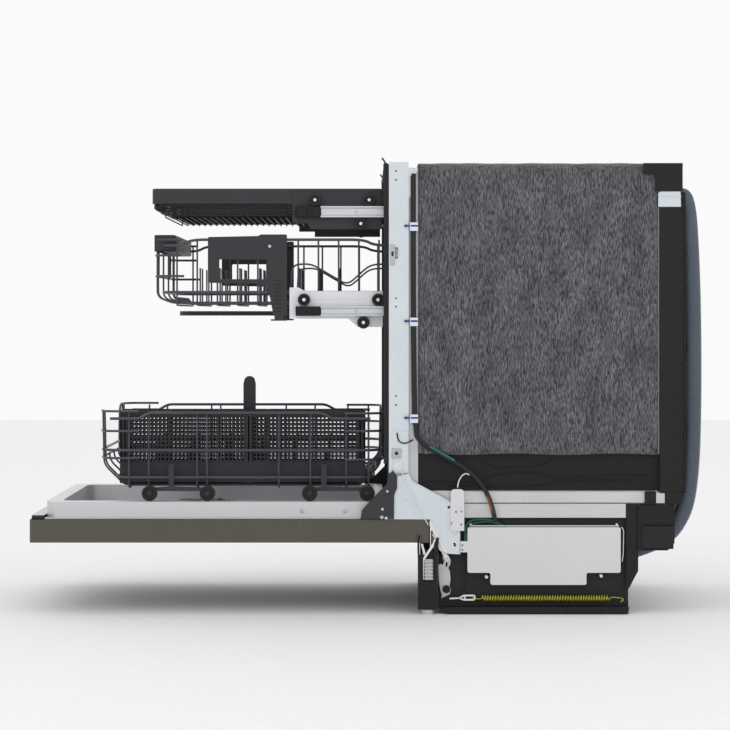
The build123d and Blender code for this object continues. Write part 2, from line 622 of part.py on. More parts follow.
SPRING_FRONT = 183.0
SPRING_END = 425.0
SPRING_X = 291.0
with BuildPart() as balance_springs:
    with Locations((SPRING_X, (SPRING_FRONT + SPRING_END) / 2, SPRING_Z)):
        Cylinder(6.5, SPRING_END - SPRING_FRONT, rotation=(90, 0, 0))
    bars_along([(SPRING_X, (124 + SPRING_FRONT) / 2, SPRING_Z)], SPRING_FRONT - 124, 3.0)
    bars_along([(SPRING_X, (SPRING_END + 452) / 2, SPRING_Z)], 452 - SPRING_END, 2.0)
    both_sides()
save(balance_springs.part, "balance_springs")

# ---------------------------------------------------------------- lower rack
LOWER_CORNER = 45.0
LOWER_GRID_Z = 237.0
LOWER_LAYER_Z = LOWER_GRID_Z + 2 * RACK_WIRE + WIRE_GAP
UPRIGHT_X = LOWER_HALF - RAIL_WIRE - RACK_WIRE - WIRE_GAP
LOWER_ROWS = spread(-492, -40, 13)
with BuildPart() as lower_rack_basket:
    for loop_z in (382.0, 309.0):
        wire_loop(LOWER_HALF, LOWER_FRONT, LOWER_REAR, LOWER_CORNER, loop_z, RAIL_WIRE)
    wire_loop(LOWER_HALF, LOWER_FRONT + 30, LOWER_REAR - 18, LOWER_CORNER / 3, 257.0, RAIL_WIRE)
    bars_across([(0, LOWER_FRONT, 346), (0, LOWER_REAR, 346)], 2 * (LOWER_HALF - LOWER_CORNER) - 6, RACK_WIRE)
    bars_across([(0, y, LOWER_GRID_Z) for y in LOWER_ROWS], 2 * UPRIGHT_X, RACK_WIRE)
    bars_along([(x, -266, LOWER_LAYER_Z) for x in spread(-226, 226, 9)], 460, RACK_WIRE)
    upright_z = (243.0 + 382.0) / 2
    uprights = [(side * UPRIGHT_X, y, upright_z) for side in (-1, 1) for y in LOWER_ROWS[1:-1]]
    bars_up(uprights, 382.0 - 243.0, RACK_WIRE)
    for end_y in (LOWER_FRONT + RAIL_WIRE + RACK_WIRE + WIRE_GAP, LOWER_REAR - RAIL_WIRE - RACK_WIRE - WIRE_GAP):
        bars_up([(x, end_y, 331) for x in spread(-168, 168, 9)], 100, RACK_WIRE)
save(lower_rack_basket.part, "lower_rack_basket")

TINE_FOOT = LOWER_LAYER_Z + RACK_WIRE + WIRE_GAP
TINE_HEIGHT = 84.0
with BuildPart() as lower_rack_tines:
    tine_places = [(x, y) for x in spread(-198, 118, 11) for y in (-454, -386, -318, -250, -182, -114)]
    bars_up([(x, y, TINE_FOOT + TINE_HEIGHT / 2) for x, y in tine_places], TINE_HEIGHT, TINE_WIRE)
save(lower_rack_tines.part, "lower_rack_tines")

CARRIER_INNER = LOWER_HALF + RAIL_WIRE + 0.3
CARRIER_OUTER = CARRIER_INNER + 3.0
CARRIER_TABS = (-412.0, -119.0)
with BuildPart() as wheel_carriers:
    for (first, second), tab in zip((WHEEL_PLACES[0:2], WHEEL_PLACES[2:4]), CARRIER_TABS):
        outline = (
            (first - 8, 220), (first - 8, 232), (first + 12, 238), (tab - 5, 240), (tab - 5, 282),
            (tab + 5, 282), (tab + 5, 240), (second - 12, 238), (second + 8, 232), (second + 8, 220),
            (second - 8, 220), (second - 14, 231), (first + 14, 231), (first + 8, 220),
        )
        side_plate(outline, CARRIER_INNER, CARRIER_OUTER - CARRIER_INNER)
        for wheel_y in (first, second):
            side_disc(wheel_y, WHEEL_AXLE_Z, AXLE_RADIUS, CARRIER_OUTER, 13)
    both_sides()
save(wheel_carriers.part, "wheel_carriers")

for number, wheel_y in enumerate(WHEEL_PLACES, 1):
    with BuildPart() as rack_wheels:
        roller_pair(wheel_y, WHEEL_AXLE_Z, WHEEL_RADIUS, CARRIER_OUTER + 0.4, CARRIER_OUTER + 12)
    save(rack_wheels.part, "lower_wheels_" + str(number))

CUTLERY_X = (160.0, 226.0)
CUTLERY_Y = (-512.0, -40.0)
CUTLERY_Z = (TINE_FOOT + 0.6, 386.0)
CUTLERY_WALL = 2.5
with BuildPart() as cutlery_basket:
    x_low, x_high = CUTLERY_X
    y_low, y_high = CUTLERY_Y
    z_low, z_high = CUTLERY_Z
    wall_base = z_low + CUTLERY_WALL + WIRE_GAP
    block(CUTLERY_X, CUTLERY_Y, (z_low, z_low + CUTLERY_WALL))
    block((x_low, x_low + CUTLERY_WALL), CUTLERY_Y, (wall_base, z_high))
    block((x_high - CUTLERY_WALL, x_high), CUTLERY_Y, (wall_base, z_high))
    inner_x = (x_low + CUTLERY_WALL + WIRE_GAP, x_high - CUTLERY_WALL - WIRE_GAP)
    for wall_y in spread(y_low, y_high - CUTLERY_WALL, 6):
        block(inner_x, (wall_y, wall_y + CUTLERY_WALL), (wall_base, z_high))
    grip_x = ((x_low + x_high) / 2 - 4, (x_low + x_high) / 2 + 4)
    block(grip_x, (-276, -252), (wall_base, 451))
save(cutlery_basket.part, "cutlery_basket")

# ---------------------------------------------------------------- upper rack
UPPER_CORNER = 45.0
UPPER_LAYER_Z = UPPER_BOTTOM + 2 * RACK_WIRE + WIRE_GAP
UPPER_TINE_FOOT = UPPER_LAYER_Z + RACK_WIRE + WIRE_GAP
UPPER_UPRIGHT_X = UPPER_HALF - RAIL_WIRE - RACK_WIRE - WIRE_GAP
UPPER_ROWS = spread(-402, 40, 12)
with BuildPart() as upper_rack_basket:
    for loop_z in (UPPER_TOP, 660.0, 613.0):
        wire_loop(UPPER_HALF, UPPER_FRONT, UPPER_REAR, UPPER_CORNER, loop_z, RAIL_WIRE)
    bars_across([(0, y, UPPER_BOTTOM) for y in UPPER_ROWS], 2 * UPPER_UPRIGHT_X, RACK_WIRE)
    bars_along([(x, -181, UPPER_LAYER_Z) for x in spread(-200, 200, 9)], 450, RACK_WIRE)
    low_z = 594.0
    upright_z = (low_z + UPPER_TOP) / 2
    uprights = [(side * UPPER_UPRIGHT_X, y, upright_z) for side in (-1, 1) for y in UPPER_ROWS[1:-1]]
    bars_up(uprights, UPPER_TOP - low_z, RACK_WIRE)
    for end_y in (UPPER_FRONT + RAIL_WIRE + RACK_WIRE + WIRE_GAP, UPPER_REAR - RAIL_WIRE - RACK_WIRE - WIRE_GAP):
        bars_up([(x, end_y, upright_z) for x in spread(-168, 168, 9)], UPPER_TOP - low_z, RACK_WIRE)
    tine_places = [(x, y) for x in (-140, -70, 70, 140) for y in UPPER_ROWS[1:-1]]
    bars_up([(x, y, UPPER_TINE_FOOT + 34) for x, y in tine_places], 68, TINE_WIRE)
    bars_up([(0, -196, 571)], 24, 6)
    with Locations((0, -196, 581.3)):
        Cylinder(16, 4)
save(upper_rack_basket.part, "upper_rack_basket")

ADJUSTER_INNER = UPPER_HALF + RAIL_WIRE + 0.3
ADJUSTER_OUTER = ADJUSTER_INNER + 4.0
ADJUSTER_OUTLINE = (
    (-342, 631), (-342, 719), (-246, 721), (-240, 724), (-190, 724), (-190, 567), (-216, 567), (-222, 600),
    (-229, 622), (-241, 629),
)
NOTCHES = spread(574, 634, 9)
with BuildPart() as height_adjusters:
    side_plate(ADJUSTER_OUTLINE, ADJUSTER_INNER, ADJUSTER_OUTER - ADJUSTER_INNER)
    block((ADJUSTER_INNER - 1, ADJUSTER_OUTER + 1), (-320, -228), (638, 676), Mode.SUBTRACT)
    fillet(height_adjusters.edges().filter_by(Axis.X), 2.5)
    for notch_z in NOTCHES:
        block((ADJUSTER_OUTER - 1.2, ADJUSTER_OUTER + 1), (-214, -201), (notch_z, notch_z + 2.4), Mode.SUBTRACT)
    block((ADJUSTER_INNER, ADJUSTER_OUTER), (-221, -190), (558, 561))
    block((ADJUSTER_INNER, ADJUSTER_OUTER), (-214, -197), (560, 568))
    side_disc(-223, 701, 3.2, ADJUSTER_OUTER, 0.8)
    both_sides()
    block((-228, 228), (UPPER_FRONT - 15, UPPER_FRONT - 3.2), (692, 723))
save(height_adjusters.part, "height_adjusters")

PLATE_INNER = ADJUSTER_OUTER + 0.4
PLATE_OUTER = PLATE_INNER + 1.6
CARRIAGE_OUTLINE = (
    (-185, 562), (-185, 622), (-168, 622), (-155, 615), (-6, 615), (-6, 546), (-54, 546),
    (-72, 562),
)
UPPER_ROLLERS = ((-157.0, 586.0 + ROLLER_RADIUS + 0.3), (-15.0, 586.0 + ROLLER_RADIUS + 0.3),
                 (-43.0, 567.0 - ROLLER_RADIUS - 0.3))
with BuildPart() as carriage_plates:
    side_plate(CARRIAGE_OUTLINE, PLATE_INNER, PLATE_OUTER - PLATE_INNER)
    block((PLATE_INNER + 0.8, PLATE_OUTER + 1), (-137, -38), (593, 600), Mode.SUBTRACT)
    for roller_y, roller_z in UPPER_ROLLERS:
        side_disc(roller_y, roller_z, AXLE_RADIUS, PLATE_OUTER, 11)
    both_sides()
save(carriage_plates.part, "carriage_plates")

for number, (roller_y, roller_z) in enumerate(UPPER_ROLLERS, 1):
    with BuildPart() as rack_rollers:
        roller_pair(roller_y, roller_z, ROLLER_RADIUS, PLATE_OUTER + 0.4, RAIL_OUTER - 1)
    save(rack_rollers.part, "upper_rollers_" + str(number))

with BuildPart() as upper_spray_arm:
    spray_arm((0, -196), 217, 22, 568, 9, 20, 6)
save(upper_spray_arm.part.rotate(Axis((0, -196, 0), (0, 0, 1)), 90), "upper_spray_arm")

# ---------------------------------------------------------------- third rack
THIRD_FRONT = -449.0
THIRD_TOP = 812.0
THIRD_EDGE = 783.0
THIRD_REAR = 70.0
THIRD_HALF = 248.0
THIRD_PLATE = THIRD_HALF + 0.4
THIRD_ROLLERS = ((-136.0, 778.0 + THIRD_ROLLER_RADIUS + 0.3), (-32.0, 778.0 + THIRD_ROLLER_RADIUS + 0.3),
                 (-48.0, 756.0 - THIRD_ROLLER_RADIUS - 0.3))
THIRD_PLATE_OUTLINE = ((-179, 745), (-179, 806), (-8, 806), (-8, 734), (-146, 734), (-146, 745))
with BuildPart() as third_rack_frame:
    with BuildSketch(Plane.XY.offset(THIRD_EDGE)):
        with Locations((0, (THIRD_FRONT + THIRD_REAR) / 2)):
            RectangleRounded(2 * THIRD_HALF, THIRD_REAR - THIRD_FRONT, 12)
    extrude(amount=THIRD_TOP - THIRD_EDGE)
    fillet(third_rack_frame.edges().group_by(Axis.Z)[-1], 3)
    block((-THIRD_HALF + 8, THIRD_HALF - 8), (THIRD_FRONT + 10, THIRD_REAR - 8), (THIRD_EDGE - 1, THIRD_TOP + 1),
          Mode.SUBTRACT)
    block((-THIRD_HALF + 8, THIRD_HALF - 8), (THIRD_REAR - 9, THIRD_REAR + 1), (800, THIRD_TOP + 1), Mode.SUBTRACT)
    side_plate(THIRD_PLATE_OUTLINE, THIRD_HALF, 2.0)
    for roller_y, roller_z in THIRD_ROLLERS:
        side_disc(roller_y, roller_z, AXLE_RADIUS, THIRD_PLATE + 1.6, 11)
    both_sides()
    block((-60, 60), (THIRD_FRONT + 2, THIRD_FRONT + 34), (771, THIRD_EDGE))
save(third_rack_frame.part, "third_rack_frame")

with BuildPart() as third_rack_tray:
    bars_across([(0, y, 757) for y in spread(-420, 50, 16)], 460, RACK_WIRE)
    bars_along([(x, -185, 757 + 2 * RACK_WIRE + WIRE_GAP) for x in spread(-220, 220, 12)], 480, RACK_WIRE)
    bars_up([(side * 232, y, 770) for side in (-1, 1) for y in spread(-420, 50, 16)], 26, RACK_WIRE)
save(third_rack_tray.part, "third_rack_tray")

for number, (roller_y, roller_z) in enumerate(THIRD_ROLLERS, 1):
    with BuildPart() as rack_rollers:
        roller_pair(roller_y, roller_z, THIRD_ROLLER_RADIUS, THIRD_PLATE + 2.0, RAIL_OUTER - 1)
    save(rack_rollers.part, "third_rollers_" + str(number))
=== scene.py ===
"""Looks for the built-in dishwasher: materials, wires, felt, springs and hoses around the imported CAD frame.

Pieces are drawn in millimetres in the CAD's own frame: X to the right, Y from the door to the wall, Z up.
"""

import math

import bpy
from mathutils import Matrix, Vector


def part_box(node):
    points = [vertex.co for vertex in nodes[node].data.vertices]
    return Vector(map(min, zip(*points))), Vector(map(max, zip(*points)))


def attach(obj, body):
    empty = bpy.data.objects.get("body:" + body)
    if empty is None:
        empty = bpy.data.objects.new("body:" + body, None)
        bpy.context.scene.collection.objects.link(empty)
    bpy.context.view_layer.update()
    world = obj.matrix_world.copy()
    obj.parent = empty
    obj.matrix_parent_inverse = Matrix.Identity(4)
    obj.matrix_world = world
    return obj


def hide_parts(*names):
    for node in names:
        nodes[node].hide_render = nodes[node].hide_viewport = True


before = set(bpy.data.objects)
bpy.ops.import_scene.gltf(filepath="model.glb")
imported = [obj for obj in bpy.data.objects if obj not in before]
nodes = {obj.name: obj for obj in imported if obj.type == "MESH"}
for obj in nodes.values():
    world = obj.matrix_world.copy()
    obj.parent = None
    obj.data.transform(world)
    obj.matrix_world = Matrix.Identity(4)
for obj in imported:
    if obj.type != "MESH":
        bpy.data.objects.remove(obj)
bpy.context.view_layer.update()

MM = 0.001

# ---------------------------------------------------------------- materials
PATCH_SCALE = 9
PLAIN_SPECULAR = 0.28
METAL_SPECULAR = 0.5
WHITE = [1, 1, 1, 1]


def linear(hex_code):
    """A colour written as six hex digits, as linear red, green and blue."""
    channels = [int(hex_code[index:index + 2], 16) / 255 for index in (0, 2, 4)]
    return [c / 12.92 if c <= 0.04045 else ((c + 0.055) / 1.055) ** 2.4 for c in channels]


def shade(colour, factor):
    """The same colour made darker or lighter, opaque."""
    return [min(1.0, channel * factor) for channel in colour] + [1.0]


def noise(tree, coordinates, scale, detail, stretch=(1, 1, 1)):
    """A noise texture over object coordinates, stretched along the axes."""
    mapping = tree.nodes.new("ShaderNodeMapping")
    mapping.inputs["Scale"].default_value = stretch
    texture = tree.nodes.new("ShaderNodeTexNoise")
    texture.inputs["Scale"].default_value = scale
    texture.inputs["Detail"].default_value = detail
    tree.links.new(coordinates, mapping.inputs["Vector"])
    tree.links.new(mapping.outputs["Vector"], texture.inputs["Vector"])
    return texture.outputs["Fac"]


def ramp(tree, factor, low, high, low_at=0.3, high_at=0.7):
    """A two-colour ramp over a factor."""
    node = tree.nodes.new("ShaderNodeValToRGB")
    node.color_ramp.elements[0].position = low_at
    node.color_ramp.elements[0].color = low
    node.color_ramp.elements[1].position = high_at
    node.color_ramp.elements[1].color = high
    tree.links.new(factor, node.inputs["Fac"])
    return node.outputs["Color"]


def multiply(tree, first, second):
    """Two colours multiplied."""
    node = tree.nodes.new("ShaderNodeMix")
    node.data_type = "RGBA"
    node.blend_type = "MULTIPLY"
    node.inputs["Factor"].default_value = 1.0
    tree.links.new(first, node.inputs[6])
    tree.links.new(second, node.inputs[7])
    return node.outputs[2]


def remap(tree, factor, low, high):
    """A factor stretched to run from low to high."""
    node = tree.nodes.new("ShaderNodeMapRange")
    node.inputs["From Min"].default_value = 0.3
    node.inputs["From Max"].default_value = 0.7
    node.inputs["To Min"].default_value = low
    node.inputs["To Max"].default_value = high
    tree.links.new(factor, node.inputs["Value"])
    return node.outputs["Result"]


def bump(tree, shader, height, distance):
    """Relief on the shader from a height factor."""
    node = tree.nodes.new("ShaderNodeBump")
    node.inputs["Distance"].default_value = distance
    node.inputs["Strength"].default_value = 1.0
    tree.links.new(height, node.inputs["Height"])
    tree.links.new(node.outputs["Normal"], shader.inputs["Normal"])


def blank_material(name):
    """A new material, with its node tree, its shader and its object coordinates."""
    material = bpy.data.materials.new(name)
    material.use_nodes = True
    tree = material.node_tree
    place = tree.nodes.new("ShaderNodeTexCoord").outputs["Object"]
    return material, tree, tree.nodes["Principled BSDF"], place


def surface(name, hex_code, grain, stretch, vary, patches, rough, relief, metal=0.0, coat=0.0):
    """One finished surface: fine grain, broad patches of tone, uneven roughness and a little relief."""
    colour = linear(hex_code)
    material, tree, shader, place = blank_material(name)
    fine = noise(tree, place, grain, 3, stretch)
    broad = noise(tree, place, PATCH_SCALE, 4)
    tone = ramp(tree, fine, shade(colour, 1 - vary), shade(colour, 1 + vary))
    cast = ramp(tree, broad, shade([1, 1, 1], 1 - patches), shade([1, 1, 1], 1.0))
    tree.links.new(multiply(tree, tone, cast), shader.inputs["Base Color"])
    tree.links.new(remap(tree, fine, rough[0], rough[1]), shader.inputs["Roughness"])
    bump(tree, shader, fine, relief)
    shader.inputs["Metallic"].default_value = metal
    shader.inputs["Coat Weight"].default_value = coat
    shader.inputs["Specular IOR Level"].default_value = PLAIN_SPECULAR if metal == 0.0 else METAL_SPECULAR
    return material


def felt(name):
    """Needled felt of dark fibres with pale ones through it, running upwards."""
    material, tree, shader, place = blank_material(name)
    fibres = noise(tree, place, 520, 9, (1.3, 1.3, 0.2))
    tufts = noise(tree, place, 24, 6, (1, 1, 0.55))
    hair = noise(tree, place, 900, 5, (1, 1, 0.2))
    tone = ramp(tree, fibres, linear("2C2C2F") + [1], linear("929196") + [1], 0.36, 0.72)
    cast = ramp(tree, tufts, [0.62, 0.60, 0.62, 1], WHITE, 0.32, 0.62)
    streak = ramp(tree, hair, [0.72, 0.72, 0.72, 1], WHITE, 0.3, 0.6)
    tree.links.new(multiply(tree, multiply(tree, tone, cast), streak), shader.inputs["Base Color"])
    tree.links.new(remap(tree, hair, 0.88, 1.0), shader.inputs["Roughness"])
    bump(tree, shader, fibres, 0.0012)
    shader.inputs["Sheen Weight"].default_value = 0.35
    shader.inputs["Specular IOR Level"].default_value = 0.2
    return material


EVEN = (1, 1, 1)
BRUSH_Y = (60, 1, 60)
BRUSH_Z = (60, 60, 1)
BRUSH_XZ = (1, 60, 1)
# colour, grain, stretch of the grain, its variation, patches of tone, roughness range, relief, metal, coat
FINISHES = {
    "liner_steel": ("CFCFD2", 14, BRUSH_Y, 0.02, 0.015, (0.28, 0.34), 0.000002, 0.45),
    "tub_steel": ("C4C6C9", 14, BRUSH_Z, 0.06, 0.08, (0.26, 0.40), 0.00002, 0.85),
    "rail_steel": ("D3D5D8", 14, BRUSH_Y, 0.07, 0.06, (0.28, 0.42), 0.00002, 0.55),
    "band_steel": ("D2D2D3", 10, BRUSH_Y, 0.05, 0.12, (0.34, 0.5), 0.00003, 0.3),
    "dark_steel": ("57534B", 14, BRUSH_XZ, 0.10, 0.08, (0.38, 0.52), 0.00001, 0.35),
    "galvanised": ("D5DDE2", 160, EVEN, 0.025, 0.05, (0.38, 0.56), 0.00002, 0.12),
    "white_plate": ("E4E6E9", 300, EVEN, 0.03, 0.05, (0.34, 0.46), 0.00002, 0.1),
    "bitumen": ("19191C", 240, EVEN, 0.16, 0.2, (0.5, 0.7), 0.00025),
    "gasket": ("232426", 500, EVEN, 0.12, 0.12, (0.55, 0.72), 0.00008),
    "black_plastic": ("1B1B1D", 900, EVEN, 0.14, 0.14, (0.46, 0.6), 0.00006),
    "base_plastic": ("242427", 800, EVEN, 0.12, 0.16, (0.5, 0.64), 0.00006),
    "arm_plate": ("313135", 500, EVEN, 0.12, 0.1, (0.34, 0.46), 0.00004, 0.2),
    "cover_grey": ("D6D6D6", 1100, EVEN, 0.02, 0.03, (0.42, 0.52), 0.00003),
    "box_grey": ("DADADC", 900, EVEN, 0.03, 0.04, (0.4, 0.5), 0.00003),
    "link_grey": ("C6C6C6", 700, EVEN, 0.05, 0.08, (0.38, 0.5), 0.00004),
    "strap_white": ("E9E9E7", 900, EVEN, 0.04, 0.05, (0.5, 0.62), 0.00004),
    "coated_wire": ("474A51", 700, EVEN, 0.12, 0.1, (0.36, 0.5), 0.00006, 0.0, 0.15),
    "rack_plastic": ("37373B", 900, EVEN, 0.12, 0.1, (0.42, 0.55), 0.00006),
    "basket_plastic": ("2C2C31", 900, EVEN, 0.12, 0.12, (0.42, 0.56), 0.00006),
    "wheel_plastic": ("28282B", 900, EVEN, 0.08, 0.08, (0.4, 0.5), 0.00005),
    "hose_blue": ("5B6470", 600, EVEN, 0.08, 0.1, (0.4, 0.52), 0.00005),
    "harness": ("2A2A2C", 500, EVEN, 0.15, 0.12, (0.5, 0.66), 0.0001),
    "clip_pale": ("DDE2F0", 900, EVEN, 0.03, 0.05, (0.4, 0.5), 0.00003),
    "clip_blue": ("20378C", 900, EVEN, 0.08, 0.05, (0.4, 0.5), 0.00003),
    "teal": ("1F7468", 700, EVEN, 0.12, 0.08, (0.4, 0.52), 0.00004),
    "green_wire": ("1F5A45", 700, EVEN, 0.12, 0.1, (0.4, 0.52), 0.00004),
    "orange_wire": ("B8622E", 700, EVEN, 0.1, 0.1, (0.4, 0.5), 0.00004),
    "spring_yellow": ("B7B53C", 500, EVEN, 0.14, 0.1, (0.24, 0.36), 0.00004, 0.55),
    "brown_wire": ("6B4A3A", 700, EVEN, 0.1, 0.1, (0.4, 0.5), 0.00004),
    "foot_steel": ("CFCFCF", 30, BRUSH_Z, 0.08, 0.08, (0.25, 0.38), 0.00002, 0.7),
    "sump_grey": ("6C6E72", 800, EVEN, 0.08, 0.1, (0.42, 0.55), 0.00005),
    "panel_gloss": ("1D1D20", 800, EVEN, 0.1, 0.08, (0.14, 0.22), 0.00002, 0.0, 0.4),
    "element_steel": ("8C8C8E", 300, EVEN, 0.1, 0.12, (0.3, 0.44), 0.00003, 0.8),
    "inlet_white": ("E2E2E0", 900, EVEN, 0.03, 0.05, (0.42, 0.52), 0.00003),
    "hub_white": ("F0F0EE", 900, EVEN, 0.02, 0.03, (0.4, 0.5), 0.00003),
    "rivet_steel": ("B9BCC0", 300, EVEN, 0.04, 0.05, (0.25, 0.35), 0.00002, 0.7),
    "cap_blue": ("33456C", 900, EVEN, 0.08, 0.06, (0.36, 0.46), 0.00004),
}
MATERIALS = {name: surface(name, *finish) for name, finish in FINISHES.items()}
MATERIALS["felt"] = felt("felt")
CAD_LOOKS = {
    "tub_wrapper": "tub_steel", "tub_floor": "tub_steel", "front_flange": "galvanised",
    "hinge_brackets": "galvanised", "base_pan": "base_plastic", "base_skirt": "black_plastic",
    "levelling_feet": "foot_steel", "base_rails": "band_steel", "bitumen_pads": "bitumen",
    "control_box_cover": "cover_grey", "terminal_box": "box_grey", "rear_frame": "black_plastic",
    "harness_clips": "clip_pale", "sump": "sump_grey", "filter_basket": "sump_grey", "pumps": "black_plastic",
    "inlet_valve": "inlet_white", "heating_element": "element_steel", "feed_tube": "sump_grey",
    "rail_channels": "rail_steel", "lower_spray_arm": "sump_grey", "top_spray_arm": "sump_grey",
    "upper_spray_arm": "rack_plastic", "balance_levers": "link_grey", "balance_straps": "strap_white",
    "door_outer_panel": "dark_steel", "door_inner_panel": "liner_steel", "hinge_arms": "arm_plate",
    "control_panel": "panel_gloss", "power_button": "panel_gloss", "start_button": "panel_gloss",
    "dispenser_housing": "rack_plastic", "dispenser_lid": "black_plastic", "rinse_aid_cap": "cap_blue",
    "wheel_carriers": "rack_plastic", "height_adjusters": "rack_plastic", "carriage_plates": "white_plate",
    "upper_rails": "rail_steel", "third_rails": "rail_steel", "third_rack_frame": "rack_plastic",
    "door_gasket": "gasket", "insulation_blanket": "felt", "drain_hose": "hose_blue",
    "wire_harness": "harness",
    "balance_springs": "spring_yellow", "lower_rack_basket": "coated_wire", "lower_rack_tines": "coated_wire",
    "cutlery_basket": "basket_plastic", "upper_rack_basket": "coated_wire", "third_rack_tray": "coated_wire",
}
for node_name, node in nodes.items():
    look = CAD_LOOKS.get(node_name, "wheel_plastic")
    for material_slot in node.material_slots:
        material_slot.link = "OBJECT"
        material_slot.material = MATERIALS[look]


# ---------------------------------------------------------------- mesh building
SHARP_ANGLE = math.radians(40)


class Piece:
    """Gathers the faces of one piece, in millimetres, and turns them into an object."""

    def __init__(self):
        self.points = []
        self.faces = []

    def ring_strip(self, rings, closed=False, caps=True):
        """Faces between rings of equal size, in order."""
        base = len(self.points)
        size = len(rings[0])
        for ring in rings:
            self.points.extend(ring)
        count = len(rings)
        for index in range(count if closed else count - 1):
            here = base + index * size
            there = base + ((index + 1) % count) * size
            for corner in range(size):
                following = (corner + 1) % size
                self.faces.append((here + corner, here + following, there + following, there + corner))
        if caps and not closed:
            self.faces.append(tuple(base + corner for corner in reversed(range(size))))
            last = base + (count - 1) * size
            self.faces.append(tuple(last + corner for corner in range(size)))

    def tube(self, path, radius, sides=8, closed=False, radius_at=None):
        """A round tube along a path of points."""
        places = [Vector(point) for point in path]
        count = len(places)
        normal = None
        rings = []
        for index, place in enumerate(places):
            before = places[index - 1] if closed or index > 0 else place
            after = places[(index + 1) % count] if closed or index < count - 1 else place
            along = (after - before).normalized()
            if normal is None:
                normal = along.orthogonal().normalized()
            normal = (normal - along * normal.dot(along)).normalized()
            across = along.cross(normal)
            size = radius if radius_at is None else radius_at(index)
            rings.append([
                place + (normal * math.cos(turn) + across * math.sin(turn)) * size
                for turn in (2 * math.pi * side / sides for side in range(sides))
            ])
        self.ring_strip(rings, closed)

    def block(self, low, high, bevel=0.0):
        """A box between two corners, its upright and lying edges cut by the bevel."""
        (x0, y0, z0), (x1, y1, z1) = low, high
        cut = min(bevel, (x1 - x0) / 2.2, (y1 - y0) / 2.2, (z1 - z0) / 2.2)
        rings = []
        for height, inset in ((z0, cut), (z0 + cut, 0), (z1 - cut, 0), (z1, cut)):
            a0, a1, b0, b1 = x0 + inset, x1 - inset, y0 + inset, y1 - inset
            rings.append([
                Vector(p + (height,)) for p in (
                    (a0 + cut, b0), (a1 - cut, b0), (a1, b0 + cut), (a1, b1 - cut),
                    (a1 - cut, b1), (a0 + cut, b1), (a0, b1 - cut), (a0, b0 + cut))
            ])
        self.ring_strip(rings)

    def turned(self, centre, profile, sides=40):
        """A body turned about a line across the machine, from (x, radius) pairs."""
        _, y, z = centre
        rings = [
            [Vector((x, y + radius * math.cos(turn), z + radius * math.sin(turn)))
             for turn in (2 * math.pi * side / sides for side in range(sides))]
            for x, radius in profile
        ]
        self.ring_strip(rings)

    def plate(self, outline, x_low, x_high, bevel=0.6):
        """A plate along the machine's side from a convex or concave (y, z) outline."""
        middle_y = sum(y for y, _ in outline) / len(outline)
        middle_z = sum(z for _, z in outline) / len(outline)

        def ring(x, shrink):
            points = []
            for y, z in outline:
                away = Vector((0, y - middle_y, z - middle_z))
                points.append(Vector((x, y, z)) - away.normalized() * shrink)
            return points

        self.ring_strip([
            ring(x_low, bevel), ring(x_low + bevel, 0), ring(x_high - bevel, 0), ring(x_high, bevel),
        ])

    def mirrored(self):
        """Adds the same faces on the other side of the machine."""
        base = len(self.points)
        self.points.extend([Vector((-p[0], p[1], p[2])) for p in self.points])
        self.faces.extend([tuple(base + corner for corner in reversed(face)) for face in list(self.faces)])

    def finish(self, name, look, body, stands_for=(), slot=None, smooth=True):
        """The object, in metres, riding on its body."""
        mesh = bpy.data.meshes.new(name)
        mesh.from_pydata([tuple(coordinate * MM for coordinate in p) for p in self.points], [], self.faces)
        mesh.validate()
        mesh.shade_smooth() if smooth else mesh.shade_flat()
        mesh.materials.append(MATERIALS[look])
        piece = bpy.data.objects.new(name, mesh)
        bpy.context.scene.collection.objects.link(piece)
        if smooth:
            mesh.set_sharp_from_angle(angle=SHARP_ANGLE)
        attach(piece, body)
        if stands_for:
            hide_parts(*stands_for)
        return piece


def bent(points, radius, closed=False, steps=5):
    """The same path with its corners rounded."""
    places = [Vector(point) for point in points]
    count = len(places)
    path = []
    for index, place in enumerate(places):
        if not closed and index in (0, count - 1):
            path.append(place)
            continue
        before = places[index - 1]
        after = places[(index + 1) % count]
        reach_in = min(radius, (before - place).length * 0.48)
        reach_out = min(radius, (after - place).length * 0.48)
        start = place + (before - place).normalized() * reach_in
        end = place + (after - place).normalized() * reach_out
        for step in range(steps + 1):
            share = step / steps
            path.append(start * (1 - share) ** 2 + place * 2 * share * (1 - share) + end * share ** 2)
    return path


def spread(first, last, count):
    """Evenly spaced values from first to last."""
    return [first + (last - first) * index / (count - 1) for index in range(count)]


def smooth_route(points, steps):
    """Points along the NURBS line that has these control points, in millimetres."""
    curve = bpy.data.curves.new("route", "CURVE")
    curve.dimensions = "3D"
    spline = curve.splines.new("NURBS")
    spline.points.add(len(points) - 1)
    for control, point in zip(spline.points, points):
        control.co = tuple(coordinate * MM for coordinate in point) + (1.0,)
    spline.order_u = 3
    spline.use_endpoint_u = True
    curve.resolution_u = steps
    holder = bpy.data.objects.new("route", curve)
    bpy.context.scene.collection.objects.link(holder)
    mesh = bpy.data.meshes.new_from_object(holder)
    places = [vertex.co / MM for vertex in mesh.vertices]
    bpy.data.objects.remove(holder)
    bpy.data.curves.remove(curve)
    bpy.data.meshes.remove(mesh)
    return places


def even_steps(path, step):
    """The same path with points a fixed distance apart."""
    places = [path[0]]
    left = step
    for start, end in zip(path, path[1:]):
        length = (end - start).length
        travelled = 0.0
        while length - travelled >= left:
            travelled += left
            places.append(start.lerp(end, travelled / length))
            left = step
        left -= length - travelled
    return places


